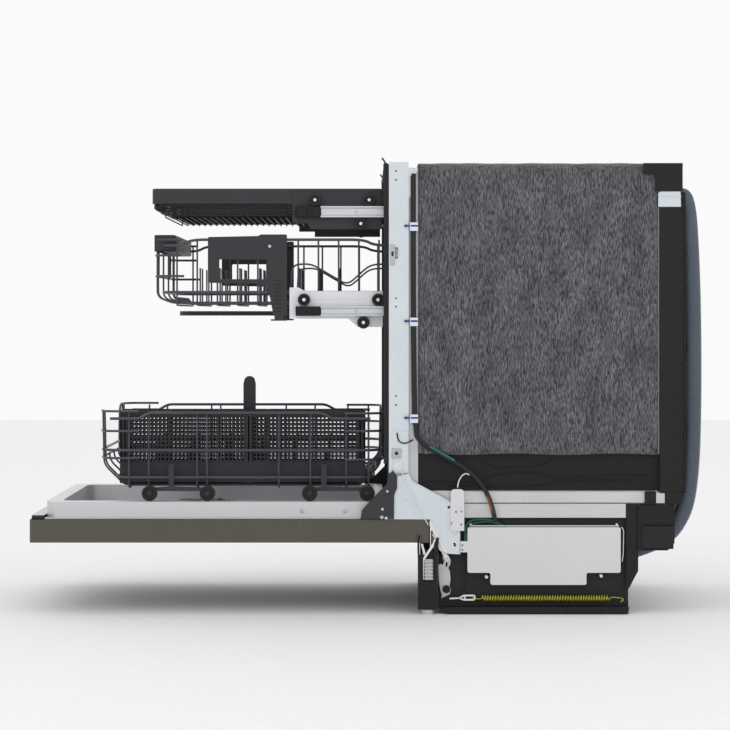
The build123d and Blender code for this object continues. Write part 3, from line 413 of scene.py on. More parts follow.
# ---------------------------------------------------------------- lower rack
LOWER_HALF = 243.0
LOWER_FRONT = -549.0
LOWER_REAR = -5.0
LOWER_TOP = 381
LOWER_DIP = 370
LOWER_BELT = 309
LOWER_SKIRT = 257
LOWER_FLOOR = 241
LOWER_CORNER = 60
LOWER_ROWS = (-494, -456, -363, -344, -206, -145, -76, -33)
RAIL_WIRE = 2.7
RACK_WIRE = 1.8
LOOP_WIRE = 2.3
TINE_WIRE = 1.6
TRAY_WIRE = 1.5
WRAP_X = 150


def closed_rail(piece, side_points, corner, radius):
    """A rail round a whole rack, from the (x, y, z) points of its right side."""
    left = [(-x, y, z) for x, y, z in reversed(side_points)]
    piece.tube(bent(list(side_points) + left, corner, closed=True, steps=8), radius, closed=True)


def corner_wraps(piece, half, end_y, inward, reach, turn_x, heights, foot_z, corner):
    """Short loops that come round both corners of a rack's end and turn down to the rail below."""
    for loop_z in heights:
        for side in (-1, 1):
            wrap = [(side * half, end_y + inward * reach, loop_z), (side * half, end_y, loop_z),
                    (side * turn_x, end_y, loop_z), (side * turn_x, end_y, foot_z)]
            piece.tube(bent(wrap, corner, steps=8), LOOP_WIRE)


lower = Piece()
side_rail = [(LOWER_HALF, -474, LOWER_DIP), (LOWER_HALF, -455, LOWER_TOP),
             (LOWER_HALF, -123, LOWER_TOP), (LOWER_HALF, -103, LOWER_DIP)]
lower.tube(bent(side_rail, 9), RAIL_WIRE)
lower.tube(bent([(-x, y, z) for x, y, z in side_rail], 9), RAIL_WIRE)
for end_y, reach in ((LOWER_FRONT, 75), (LOWER_REAR, -98)):
    for side in (-1, 1):
        x = side * LOWER_HALF
        rail_end = [(x, end_y + reach, LOWER_DIP), (x, end_y + reach / 4, LOWER_DIP)]
        lower.tube(bent(rail_end, 20), RAIL_WIRE)
belt_rail = [(LOWER_HALF, LOWER_FRONT, LOWER_BELT), (LOWER_HALF, LOWER_REAR, LOWER_BELT)]
closed_rail(lower, belt_rail, LOWER_CORNER, RAIL_WIRE)
skirt_rail = [(LOWER_HALF, LOWER_FRONT + 30, LOWER_SKIRT), (LOWER_HALF, LOWER_REAR - 18, LOWER_SKIRT)]
closed_rail(lower, skirt_rail, 30, RAIL_WIRE)
corner_wraps(lower, LOWER_HALF, LOWER_FRONT, 1, 74, WRAP_X, (384, 346), 294, LOWER_CORNER)
corner_wraps(lower, LOWER_HALF, LOWER_REAR, -1, 74, WRAP_X, (380, 346), 291, LOWER_CORNER)
for end_y, inward, loop_z in ((LOWER_FRONT, 1, 294), (LOWER_REAR, -1, 291)):
    wrap = [(LOWER_HALF, end_y + inward * 74, loop_z), (LOWER_HALF, end_y, loop_z),
            (-LOWER_HALF, end_y, loop_z), (-LOWER_HALF, end_y + inward * 74, loop_z)]
    lower.tube(bent(wrap, LOWER_CORNER, steps=8), LOOP_WIRE)
for row in LOWER_ROWS:
    cradle = [(-LOWER_HALF + 4, row, LOWER_TOP), (-LOWER_HALF + 4, row, LOWER_FLOOR - 4),
              (LOWER_HALF - 4, row, LOWER_FLOOR - 4), (LOWER_HALF - 4, row, LOWER_TOP)]
    lower.tube(bent(cradle, 14), RACK_WIRE)
for x, top in ((-218, 384), (-182, 384), (-91, 296), (0, 296), (91, 296), (182, 384), (218, 384)):
    runner = [(x, LOWER_FRONT + 3, top), (x, LOWER_FRONT + 5, 281),
              (x, -504, LOWER_FLOOR), (x, -48, LOWER_FLOOR),
              (x, LOWER_REAR - 5, 281), (x, LOWER_REAR - 3, min(top, 378))]
    lower.tube(bent(runner, 12), RACK_WIRE)
for x in spread(-160, 160, 8):
    bar = [(x, -500, 262), (x, -490, LOWER_FLOOR), (x, -52, LOWER_FLOOR), (x, -40, 262)]
    lower.tube(bent(bar, 8), RACK_WIRE)
lower.finish("lower_rack_wires", "coated_wire", "lower_rack", ["lower_rack_basket"], "lower_rack_basket")

tines = Piece()
TINE_ROWS = (-454, -386, -318, -250, -182, -114)
for row in TINE_ROWS:
    tines.tube([(-212, row, 242.5), (134, row, 242.5)], TINE_WIRE)
    for x in spread(-198, 118, 11):
        tine = bent([(x, row, 242), (x, row + 1, 300), (x, row + 4, 327)], 20)
        tines.tube(tine, TINE_WIRE, radius_at=lambda index: TINE_WIRE if index < 6 else 1.2)
tines.finish("lower_rack_tine_rows", "coated_wire", "lower_rack", ["lower_rack_tines"], "lower_rack_tines")


def lattice(piece, fixed, plane_at, u_range, v_range, pitch, thickness):
    """A moulded grille of thin bars in the plane across the fixed axis."""
    u_low, u_high = u_range
    v_low, v_high = v_range
    half = thickness / 2

    def put(u0, u1, v0, v1, depth):
        if fixed == "x":
            piece.block((plane_at - depth, u0, v0), (plane_at + depth, u1, v1), 0.3)
        elif fixed == "y":
            piece.block((u0, plane_at - depth, v0), (u1, plane_at + depth, v1), 0.3)
        else:
            piece.block((u0, v0, plane_at - depth), (u1, v1, plane_at + depth), 0.3)

    for u in spread(u_low + half, u_high - half, max(2, round((u_high - u_low) / pitch))):
        put(u - half, u + half, v_low, v_high, half)
    for v in spread(v_low + half, v_high - half, max(2, round((v_high - v_low) / pitch))):
        put(u_low, u_high, v - half, v + half, half * 0.9)


cutlery = Piece()
CUTLERY_X = (160.0, 226.0)
CUTLERY_Y = (-512.0, -40.0)
CUTLERY_Z = (244.6, 386.0)
GRILLE_Z = (286.0, 374.0)
WALL = 1.3
for wall_x in (CUTLERY_X[0] + WALL, CUTLERY_X[1] - WALL):
    lattice(cutlery, "x", wall_x, CUTLERY_Y, GRILLE_Z, 7.6, 3.0)
    for low, high in ((CUTLERY_Z[0], GRILLE_Z[0]), (GRILLE_Z[1], CUTLERY_Z[1])):
        cutlery.block((wall_x - WALL, CUTLERY_Y[0], low), (wall_x + WALL, CUTLERY_Y[1], high), 0.5)
    for post_y in (CUTLERY_Y[0] + 7, -264, CUTLERY_Y[1] - 7):
        cutlery.block((wall_x - 1.5, post_y - 8, CUTLERY_Z[0]), (wall_x + 1.5, post_y + 8, CUTLERY_Z[1]), 0.6)
for wall_y in spread(CUTLERY_Y[0] + WALL, CUTLERY_Y[1] - WALL, 6):
    lattice(cutlery, "y", wall_y, CUTLERY_X, GRILLE_Z, 9, 2.4)
    for low, high in ((CUTLERY_Z[0], GRILLE_Z[0]), (GRILLE_Z[1], CUTLERY_Z[1])):
        near_low = (CUTLERY_X[0] + 0.1, wall_y - WALL, low)
        far_high = (CUTLERY_X[1] - 0.1, wall_y + WALL, high)
        cutlery.block(near_low, far_high, 0.5)
lattice(cutlery, "z", CUTLERY_Z[0] + 1.2, CUTLERY_X, CUTLERY_Y, 11, 2.4)
PADDLE = ((-276, 246), (-276, 436), (-273.5, 446), (-268, 450.5), (-260, 450.5), (-254.5, 446), (-252, 436),
          (-252, 246))
cutlery.plate(PADDLE, 189.2, 196.8, 1.2)
cutlery.finish("cutlery_basket_grilles", "basket_plastic", "cutlery", ["cutlery_basket"], "cutlery_basket")

# ---------------------------------------------------------------- upper rack
UPPER_HALF = 238.0
UPPER_FRONT = -431.0
UPPER_REAR = 67.0
UPPER_LIP = -444.0
UPPER_TOP = 714
UPPER_DIP = 703
UPPER_LOOP = 644
UPPER_BELT = 613
UPPER_FLOOR = 592
UPPER_ROWS = [-402 + 38.9 * index for index in range(12)]
upper = Piece()
closed_rail(upper, [
    (UPPER_HALF, UPPER_FRONT, UPPER_DIP), (UPPER_HALF, -392, UPPER_DIP), (UPPER_HALF, -374, UPPER_TOP),
    (UPPER_HALF, -42, UPPER_TOP), (UPPER_HALF, -22, UPPER_DIP), (UPPER_HALF, UPPER_REAR, UPPER_DIP),
], 26, RAIL_WIRE)
belt_rail = [(UPPER_HALF, UPPER_FRONT, UPPER_BELT), (UPPER_HALF, UPPER_REAR, UPPER_BELT)]
closed_rail(upper, belt_rail, 45, RAIL_WIRE)
corner_wraps(upper, UPPER_HALF, UPPER_LIP, 1, 52, WRAP_X, (UPPER_TOP, 684), UPPER_LOOP, 30)
corner_wraps(upper, UPPER_HALF, UPPER_REAR, -1, 62, WRAP_X, (UPPER_TOP, 684), UPPER_LOOP, 45)
for end_y, inward in ((UPPER_LIP, 1), (UPPER_REAR, -1)):
    wrap = [(UPPER_HALF, end_y + inward * 56, UPPER_LOOP), (UPPER_HALF, end_y, UPPER_LOOP),
            (-UPPER_HALF, end_y, UPPER_LOOP), (-UPPER_HALF, end_y + inward * 56, UPPER_LOOP)]
    upper.tube(bent(wrap, 34, steps=8), LOOP_WIRE)
for row in UPPER_ROWS:
    cradle = [(-UPPER_HALF + 4, row, UPPER_TOP), (-UPPER_HALF + 4, row, UPPER_FLOOR - 4),
              (UPPER_HALF - 4, row, UPPER_FLOOR - 4), (UPPER_HALF - 4, row, UPPER_TOP)]
    upper.tube(bent(cradle, 12), RACK_WIRE)
for x in (-220, -196, -66, 66, 196, 220):
    runner = [(x, UPPER_LIP + 3, 712), (x, UPPER_LIP + 3, 604), (x, UPPER_FRONT + 20, UPPER_FLOOR),
              (x, UPPER_REAR - 20, UPPER_FLOOR), (x, UPPER_REAR - 5, UPPER_BELT), (x, UPPER_REAR - 4, 712)]
    upper.tube(bent(runner, 12), RACK_WIRE)
for x in spread(-160, 160, 8):
    bar = [(x, -408, 604), (x, -398, UPPER_FLOOR), (x, 36, UPPER_FLOOR), (x, 46, 604)]
    upper.tube(bent(bar, 8), RACK_WIRE)
for x in (-140, -70, 70, 140):
    upper.tube([(x, UPPER_ROWS[0], 594), (x, UPPER_ROWS[-1], 594)], TINE_WIRE)
    for row in UPPER_ROWS[1:-1]:
        upper.tube(bent([(x, row, 593), (x, row, 640), (x + 3, row, 661)], 16), TINE_WIRE)
for side in (-1, 1):
    wave = [(side * 229, -182, 624), (side * 229, -180, 666), (side * 229, -144, 668), (side * 229, -74, 627),
            (side * 229, -30, 666), (side * 229, 12, 668)]
    upper.tube(bent(wave, 14), RACK_WIRE)
upper.tube([(0, -196, 559.4), (0, -196, 583)], 6, 20)
upper.tube([(0, -196, 579.4), (0, -196, 583.2)], 16, 28)
upper.finish("upper_rack_wires", "coated_wire", "upper_rack", ["upper_rack_basket"], "upper_rack_basket")

grip = Piece()
grip.block((-229, -446, 692), (229, -405, 723.5), 2.5)
grip.finish("upper_rack_grip", "rack_plastic", "upper_rack", slot="height_adjusters")

tray = Piece()
for row in spread(-424, 52, 40):
    tray.tube(bent([(-233, row, 783), (-231, row, 757), (231, row, 757), (233, row, 783)], 8), TRAY_WIRE, 6)
for x in spread(-224, 224, 24):
    tray.tube(bent([(x, -440, 783), (x, -412, 760.2), (x, 48, 760.2), (x, 58, 783)], 8), TRAY_WIRE, 6)
for height in (762, 768, 774, 780):
    front = -412 - (height - 760) * 1.2
    ends = [(231.5, front, height), (231.5, 52, height), (-231.5, 52, height), (-231.5, front, height)]
    tray.tube(bent(ends, 10, closed=True), 1.3, 6, closed=True)
tray.finish("third_rack_mesh", "basket_plastic", "third_rack", ["third_rack_tray"], "third_rack_tray")


# ---------------------------------------------------------------- telescopic rails
def slide(node_name, body, low, high):
    """The moving rail of one pair: a rolled channel with a dark stop at its front end."""
    front, rear = -145.0, 260.0
    rail = Piece()
    profile = (
        (253, low), (262, low), (262, low + 2.4), (258.6, low + 5),
        (258.6, high - 5), (262, high - 2.4), (262, high), (253, high),
    )
    rail.ring_strip([[Vector((x, y, z)) for x, z in profile] for y in (front + 20, rear)])
    rail.mirrored()
    rail.finish(node_name + "_channel", "rail_steel", body, [node_name], node_name)
    stop = Piece()
    middle = (low + high) / 2
    stop.plate(((front - 28, low), (front - 28, high), (front + 21, high), (front + 21, low)),
               253.2, 260.4, 0.8)
    stop.plate(((front - 26, low + 1), (front - 26, high - 1), (front - 6, high - 1), (front - 6, low + 1)),
               260.0, 261.8, 0.5)
    stop.plate(((front + 4, low + 1), (front + 4, high - 1), (front + 19, high - 1), (front + 19, low + 1)),
               260.0, 261.9, 0.5)
    stop.turned((0, front + 12, middle), ((260, 3.2), (262.0, 3.2)), 16)
    stop.mirrored()
    stop.finish(node_name + "_stops", "black_plastic", body, slot=node_name)
    screw = Piece()
    screw.turned((0, -57, middle), ((258.4, 2.8), (259.6, 2.8), (260.2, 1.4)), 16)
    screw.mirrored()
    screw.finish(node_name + "_screws", "rivet_steel", body, slot=node_name)


slide("upper_rails", "upper_slides", 567.4, 585.6)
slide("third_rails", "third_slides", 756.4, 777.6)


# ---------------------------------------------------------------- wheels and rollers
AXLE_BORE = 3.1
SPOKES = 6
HUBBED_BELOW = 13
WHEEL_FACE = 261.0


def wheels(node_name, body, radius, inner, outer):
    """A left and a right wheel with a rim, a recessed web and a hub, in place of the plain CAD pair."""
    low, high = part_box(node_name)
    centre = (0, (low[1] + high[1]) / 2 / MM, (low[2] + high[2]) / 2 / MM)
    web = (outer - inner) * 0.28
    piece = Piece()
    piece.turned(centre, (
        (inner, AXLE_BORE), (inner, radius - 1.2), (inner + 0.8, radius - 0.1), (outer - 0.8, radius - 0.1),
        (outer, radius - 1.0), (outer, radius - 3.2), (outer - web, radius - 3.8), (outer - web, 6.0),
        (outer - 0.4, 5.4), (outer - 0.4, AXLE_BORE),
    ))
    for turn in range(SPOKES):
        angle = math.pi * turn / (SPOKES / 2)
        spoke = [Vector((outer - web * 0.5, centre[1] + r * math.cos(angle), centre[2] + r * math.sin(angle)))
                 for r in (5.0, radius - 3.0)]
        piece.tube(spoke, 0.9, 6)
    piece.mirrored()
    piece.finish(node_name + "_spoked", "wheel_plastic", body, [node_name], node_name)
    if radius < HUBBED_BELOW:
        hub = Piece()
        hub.turned(centre, ((outer - 2.0, AXLE_BORE), (outer - 0.2, 3.1), (outer + 0.3, 2.2)), 20)
        hub.mirrored()
        hub.finish(node_name + "_hubs", "hub_white", body, slot=node_name)


for number in range(1, 5):
    wheels("lower_wheels_" + str(number), "lower_wheel_pair_" + str(number), 15.0, 249.4, WHEEL_FACE)
for number in range(1, 4):
    wheels("upper_rollers_" + str(number), "upper_roller_pair_" + str(number), 12.0, 247.4, WHEEL_FACE)
    wheels("third_rollers_" + str(number), "third_roller_pair_" + str(number), 11.4, 250.4, WHEEL_FACE)

# ---------------------------------------------------------------- balance springs
SPRING_X = 291
SPRING_Z = 30.0
SPRING_START = 183
SPRING_LENGTH = 242
COIL_RADIUS = 5.0
COIL_TURNS = 49
COIL_SIDES = 20
springs = Piece()
coil = []
for step in range(COIL_TURNS * COIL_SIDES + 1):
    angle = 2 * math.pi * step / COIL_SIDES
    coil.append((
        SPRING_X + COIL_RADIUS * math.cos(angle),
        SPRING_START + SPRING_LENGTH * step / (COIL_TURNS * COIL_SIDES),
        SPRING_Z + COIL_RADIUS * math.sin(angle),
    ))
springs.tube(coil, 1.25, 8)
rear_hook = [
    (296.4, 425, 30), (SPRING_X, 430, 32), (SPRING_X, 450, 30), (SPRING_X, 452, 25), (SPRING_X, 446, 23),
]
springs.tube(bent(rear_hook, 4), 1.1, 8)
springs.tube(bent([(296.4, SPRING_START, 30), (SPRING_X, 176, 28), (SPRING_X, 164, 31)], 4), 1.1, 8)
springs.mirrored()
springs.finish("balance_spring_coils", "spring_yellow", "cabinet", ["balance_springs"], "balance_springs")

links = Piece()
links.tube([(SPRING_X, 121, 29), (SPRING_X, 140, 30)], 1.6, 8)
for prong_z in (25.4, 33.6):
    prong = ((139, 28.6), (148, prong_z), (166, prong_z), (166, prong_z + 3), (148, prong_z + 3), (139, 31.6))
    links.plate(prong, 288.8, 293.2, 0.4)
eyelet = [(SPRING_X, 150, 27), (SPRING_X, 169, 27), (SPRING_X, 169, 35), (SPRING_X, 150, 35)]
links.tube(bent(eyelet, 3, closed=True), 1.7, 8, closed=True)
links.mirrored()
links.finish("spring_link_eyelets", "strap_white", "cabinet", slot="balance_straps")


# ---------------------------------------------------------------- felt blanket
FELT_SIDE = 290.6
FELT_TOP = 857.2
FELT_SHOULDER = 843
FELT_FOOT = 304
FELT_FRONT = 61.5
FELT_REAR = 518
FELT_CORNER = 14.0
FELT_THICKNESS = 0.0035


def felt_corner(side, first, last):
    """Points round one upper corner of the felt."""
    return [
        (side * FELT_SIDE - side * FELT_CORNER * (1 - math.cos(t)), FELT_SHOULDER + FELT_CORNER * math.sin(t))
        for t in spread(first, last, 6)
    ]


def blanket():
    """The felt over both sides and the top: a gently wavy shell with a folded top seam."""
    piece = Piece()
    rows = 96
    outline = [(FELT_SIDE, z) for z in spread(FELT_FOOT, FELT_SHOULDER, 60)]
    outline += felt_corner(1, 0.2, 1.45)
    outline += [(x, FELT_TOP) for x in spread(270, -270, 40)]
    outline += felt_corner(-1, 1.45, 0.2)
    outline += [(-FELT_SIDE, z) for z in spread(FELT_SHOULDER, FELT_FOOT, 60)]
    rings = []
    for y in spread(FELT_FRONT, FELT_REAR, rows):
        ring = []
        for x, z in outline:
            lift = 0.9 * math.sin(y / 23.0 + z / 61.0) + 0.7 * math.sin(y / 9.0 - z / 37.0)
            seam = -1.6 * math.exp(-((z - 838) / 3.0) ** 2) if z < 850 else 0.0
            edge = -1.2 * math.exp(-((y - FELT_FRONT) / 3.0) ** 2)
            edge -= 1.2 * math.exp(-((FELT_REAR - y) / 3.0) ** 2)
            out = lift * 0.55 + seam + edge
            sideways = out if abs(x) > 280 else 0.0
            upward = out * 0.7 if abs(x) <= 280 else 0.0
            hem = 1.4 * math.sin(y / 31.0) if z < 305 else 0.0
            ring.append(Vector((x + math.copysign(sideways, x) - math.copysign(0.3, x), y, z + upward + hem)))
        rings.append(ring)
    base = len(piece.points)
    size = len(outline)
    for ring in rings:
        piece.points.extend(ring)
    for row in range(rows - 1):
        for column in range(size - 1):
            here = base + row * size + column
            piece.faces.append((here, here + 1, here + size + 1, here + size))
    felted = piece.finish("insulation_felt", "felt", "cabinet", ["insulation_blanket"], "insulation_blanket")
    thick = felted.modifiers.new("thickness", "SOLIDIFY")
    thick.thickness = FELT_THICKNESS
    thick.offset = 0.0


blanket()

# ---------------------------------------------------------------- hose and harness
RISING_X = 266.0
FALLING_X = 66.0
HOSE_ROUTE = (
    (RISING_X, 474, 120), (RISING_X, 532, 138), (RISING_X, 566, 182), (RISING_X, 580, 232),
    (RISING_X, 588, 340), (RISING_X, 588, 600), (RISING_X, 578, 800),
    (FALLING_X, 578, 800), (FALLING_X, 590, 600), (FALLING_X, 600, 370),
    (FALLING_X, 594, 262), (FALLING_X, 581, 184), (FALLING_X, 540, 130), (FALLING_X, 474, 112),
)
hose = Piece()
hose_line = even_steps(smooth_route(HOSE_ROUTE, 60), 1.1)
hose.tube(hose_line, 15, 28, radius_at=lambda index: 16.4 if index % 4 in (0, 1) else 15.2)
hose.finish("drain_hose_corrugated", "hose_blue", "cabinet", ["drain_hose"], "drain_hose")

HARNESS_X = 296.3
HARNESS_ROUTE = (
    (HARNESS_X, 52.5, 838), (HARNESS_X, 52.5, 352), (HARNESS_X, 64, 327), (HARNESS_X, 106, 303),
    (HARNESS_X, 163, 271), (HARNESS_X, 200, 222), (HARNESS_X, 208, 176),
)
harness = Piece()
harness_line = even_steps(smooth_route(HARNESS_ROUTE, 60), 1.2)
harness.tube(harness_line, 4.3, 16, radius_at=lambda index: 4.45 if index % 3 else 4.0)
harness.finish("wire_harness_conduit", "harness", "cabinet", ["wire_harness"], "wire_harness")


def along_harness(name, look, low, high, offset, radius):
    """A strand that lies on the harness between two heights, set off from its middle line."""
    strand = Piece()
    strand.tube([point + Vector(offset) for point in harness_line if low < point.z < high], radius, 10)
    strand.finish(name, look, "cabinet", slot="wire_harness")


along_harness("harness_teal_sleeve", "teal", 290, 317, (2.4, 1.2, 2.2), 2.4)
along_harness("harness_orange_wire", "orange_wire", 196, 224, (2.6, -2.6, 0), 1.3)
along_harness("harness_brown_wire", "brown_wire", 192, 228, (3.4, -0.6, 0), 1.2)
along_harness("harness_second_run", "harness", 360, 834, (0.6, -3.4, 0), 2.6)

for number, clip_z in enumerate((737, 556, 372), 1):
    band = Piece()
    band.block((284.4, 46.6, clip_z - 0.5), (301.45, 60.7, clip_z + 3.5), 0.3)
    band.block((297.2, 36.6, clip_z + 0.2), (300.8, 46.4, clip_z + 3.0), 0.6)
    tip = ((33.6, clip_z + 1.6), (38, clip_z + 4.6), (41, clip_z + 1.6), (38, clip_z - 1.4))
    band.plate(tip, 297.2, 300.6, 0.4)
    band.finish("harness_clip_band_" + str(number), "clip_blue", "cabinet", slot="harness_clips")


def lead(name, look, route, radius):
    """A thin wire along the smooth line of its route."""
    wire = Piece()
    wire.tube(smooth_route(route, 14), radius, 8)
    wire.finish(name, look, "cabinet", slot="wire_harness")


lead("earth_lead_upper", "green_wire", (
    (298.8, 150, 139), (298.6, 150, 160), (298.4, 156, 177),
    (297.0, 178, 181), (296.0, 205, 179), (294.0, 222, 168),
), 1.6)
lead("earth_lead_lower", "green_wire", (
    (298.2, 153, 137), (298.2, 154, 158), (297.8, 163, 172),
    (296.6, 184, 177), (295.0, 208, 175), (293.0, 228, 166),
), 1.4)
lead("sensor_lead", "harness", (
    (299.2, 21, 345), (299.4, 22, 331), (299.4, 31, 325), (299.0, 42, 326), (298.0, 52, 332),
), 1.3)
lead("terminal_lead", "strap_white", (
    (299.6, 136, 241), (299.6, 137, 252), (299.6, 144, 264), (299.4, 153, 269), (298.6, 158, 265),
), 1.1)

# ---------------------------------------------------------------- gasket
gasket = Piece()
LOW_Z, HIGH_Z = 286.0, 855.0
bead = [(288, 0, LOW_Z), (288, 0, HIGH_Z - 20), (288, -1.0, HIGH_Z + 2), (268, 0, 853), (-268, 0, 853),
        (-288, -1.0, HIGH_Z + 2), (-288, 0, HIGH_Z - 20), (-288, 0, LOW_Z)]
gasket.tube(bent(bead, 12), 4.6, 14)
for side in (-1, 1):
    lip = [(side * 290, 1, 848), (side * 290, -1, 858), (side * 290, -5, 865), (side * 290, -8, 868)]
    gasket.tube(bent(lip, 8), 1.6, 8)
    gasket.block((side * 288 - 4.8, 1.0, LOW_Z), (side * 288 + 4.8, 5.2, HIGH_Z), 0.8)
gasket.block((-284, 1.0, 848.5), (284, 5.2, 857.5), 0.8)
gasket.finish("door_gasket_bulb", "gasket", "cabinet", ["door_gasket"], "door_gasket")


# ---------------------------------------------------------------- tub front and hinge details
def mirrored_piece(name, look, body, slot, build):
    """A small piece made by a function and repeated on the other side of the machine."""
    piece = Piece()
    build(piece)
    piece.mirrored()
    piece.finish(name, look, body, slot=slot)


def ring_of(centre, radius, x, turns=(0, 360), steps=28):
    """Points of a circle, or a part of one, in the plane of the machine's side."""
    y, z = centre
    first, last = (math.radians(turn) for turn in turns)
    return [
        (x, y + radius * math.cos(angle), z + radius * math.sin(angle))
        for angle in spread(first, last, steps)
    ]


def flange_overlay(piece):
    """The pressed plate over the flange's foot, with its turned edge."""
    piece.plate(((13.5, 284), (13.5, 350), (42, 350), (42, 272), (24, 272)), 297.0, 297.9, 0.3)
    piece.tube([(297.9, 42, 274), (297.9, 42, 349)], 0.7, 6)
    piece.tube([(297.9, 14, 349.6), (297.9, 42, 349.6)], 0.6, 6)


def flange_clip(piece):
    """The two spring nuts on the flange."""
    piece.block((297.9, 11, 297), (299.6, 29.5, 315), 0.6)
    piece.tube(ring_of((20, 306), 5.4, 299.6)[:-1], 0.9, 8, closed=True)
    piece.block((297.2, 7.5, 664), (298.4, 17, 703), 0.4)
    piece.tube(ring_of((15, 686), 7.2, 298.3, (-60, 80)), 0.8, 8)


def flange_clip_holes(piece):
    """The dark openings in both spring nuts and the flange's pressed marks."""
    piece.turned((0, 20, 306), ((299.2, 3.4), (299.9, 3.4)), 20)
    piece.block((298.2, 10.2, 681), (298.8, 14.2, 690), 0.2)
    for mark_z in (826, 843, 601, 585, 415, 398):
        piece.turned((0, 19, mark_z), ((296.4, 1.7), (297.1, 1.7)), 14)


def hinge_roller(piece):
    """The pale roller cap over the top of the hinge arm."""
    piece.turned((0, 22.8, 281), ((297.9, 9.6), (300.6, 9.6), (301.2, 8.6)), 36)


def hinge_cable(piece):
    """The cable from the roller down to the balance strap, outboard of the arm's sweep, and its guide."""
    run = [
        (300.6, 29, 273), (300.6, 38, 251), (300.4, 45, 238),
        (298.8, 54, 222), (298.4, 66, 196), (298.2, 80, 170),
    ]
    piece.tube(smooth_route(run, 10), 0.8, 8)
    piece.plate(((84, 169), (87.5, 170), (116, 118.5), (112.5, 116)), 297.4, 298.8, 0.4)


def bracket_relief(piece):
    """The bracket's round bead, flatter where the arm sweeps over it, its edge bead and its fold."""
    centre = (14, 182)
    piece.tube(ring_of(centre, 44, 297.0, (1, 66)), 1.1, 8)
    piece.tube(ring_of(centre, 44, 296.35, (66, 80)), 0.85, 8)
    piece.tube(ring_of(centre, 38.5, 296.6, (1, 78)), 0.6, 8)
    edge = [(296.9, 44, 265), (296.9, 50, 252), (296.9, 123, 212.5), (296.9, 139, 160), (296.9, 139, 116)]
    piece.tube(bent(edge, 6), 0.9, 8)
    piece.tube([(296.8, 104.5, 150), (296.8, 104.5, 219)], 0.8, 6)
    piece.tube([(296.8, 115.8, 150), (296.8, 115.8, 213)], 0.6, 6)
    piece.block((296.8, 106, 186), (297.3, 114, 187), 0.1)
    piece.block((296.9, 126, 152), (298.0, 135, 162), 0.4)


def bracket_holes(piece):
    """The dark holes in the bracket."""
    piece.turned((0, 119.5, 203.5), ((296.4, 2.6), (297.15, 2.6)), 16)
    piece.turned((0, 131, 131), ((296.4, 2.3), (297.15, 2.3)), 16)


def arm_rivets(piece):
    """The rivet heads on the hinge arm."""
    for rivet_y, rivet_z, radius in ((2.4, 234, 2.6), (-6.8, 200, 2.8), (-8, 184.5, 3.4)):
        piece.turned((0, rivet_y, rivet_z), ((299.4, radius), (300.8, radius), (301.3, radius * 0.6)), 20)


mirrored_piece("flange_foot_plate", "galvanised", "cabinet", "front_flange", flange_overlay)
mirrored_piece("flange_spring_nuts", "rivet_steel", "cabinet", "front_flange", flange_clip)
mirrored_piece("flange_openings", "black_plastic", "cabinet", "front_flange", flange_clip_holes)
mirrored_piece("hinge_roller_caps", "box_grey", "cabinet", "hinge_brackets", hinge_roller)
mirrored_piece("hinge_cables", "strap_white", "cabinet", "hinge_brackets", hinge_cable)
mirrored_piece("bracket_beads", "galvanised", "cabinet", "hinge_brackets", bracket_relief)
mirrored_piece("bracket_openings", "black_plastic", "cabinet", "hinge_brackets", bracket_holes)
mirrored_piece("hinge_arm_rivets", "rivet_steel", "door", "hinge_arms", arm_rivets)

terminal_marks = Piece()
for mark_y, mark_z, width in ((133, 196, 1.4), (143.5, 197, 1.0), (143, 172, 1.3), (124.5, 174, 1.1)):
    terminal_marks.block((301.2, mark_y - width, mark_z - 3), (301.5, mark_y + width, mark_z + 1), 0.1)
terminal_marks.block((299.3, 143.6, 121), (299.75, 146.4, 124), 0.1)
terminal_marks.block((299.3, 143.6, 130), (299.75, 146.4, 133), 0.1)
terminal_marks.finish("terminal_box_marks", "black_plastic", "cabinet", slot="terminal_box")

# ---------------------------------------------------------------- column and base details
bellows = Piece()
for fold in range(6):
    z = 65 + fold * 6.6
    bellows.block((296.4, 72.5, z), (300.4, 90, z + 4.6), 1.4)
    bellows.block((296.4, 73.8, z + 4.4), (299.2, 88.8, z + 6.8), 0.4)
bellows.finish("column_bellows", "link_grey", "cabinet", slot="base_skirt")

yoke = Piece()
yoke.plate(((88, 134), (91.5, 143), (98, 140.5), (95, 132)), 297.6, 301.2, 0.8)
yoke.plate(((89.5, 136.5), (93, 133.5), (72.5, 103), (69.2, 105)), 298.6, 301.0, 0.5)
yoke.plate(((69.2, 105), (72.5, 104), (71.6, 66), (69.6, 66)), 298.6, 301.0, 0.4)
yoke.plate(((66, 134), (70, 134), (75, 116), (72, 110)), 297.4, 298.4, 0.3)
yoke.finish("column_yoke", "strap_white", "cabinet", slot="base_skirt")

# Thin dark sheets on the base pan's side, behind the spring and in an upright strip ahead of it: painted
# shade for the recessed channel, not parts of their own.
channel_shade = Piece()
channel_shade.block((282.05, 176, 15), (283.2, 455, 41), 0.3)
channel_shade.block((282.05, 143, 44), (283.0, 152, 112), 0.3)
channel_shade.mirrored()
channel_shade.finish("spring_channel_painted_shade", "gasket", "cabinet", slot="base_pan")

# The pale tube along the cover's top edge is a painted highlight; the small blocks at its ends and the bent
# wire down its rear end are white fittings.
cover_highlight_and_clips = Piece()
cover_highlight_and_clips.tube([(299.2, 160, 168.4), (299.2, 443, 168.4)], 0.8, 8)
cover_highlight_and_clips.block((293, 159, 167), (297, 163, 172.5), 0.5)
cover_highlight_and_clips.block((293, 437, 167), (297, 441, 172.5), 0.5)
cover_highlight_and_clips.tube(bent([(297, 448, 166), (297, 452, 160), (297, 451, 112), (297, 449, 100)], 6), 0.7, 8)
cover_highlight_and_clips.finish("control_cover_highlight_and_clips", "inlet_white", "cabinet", slot="control_box_cover")

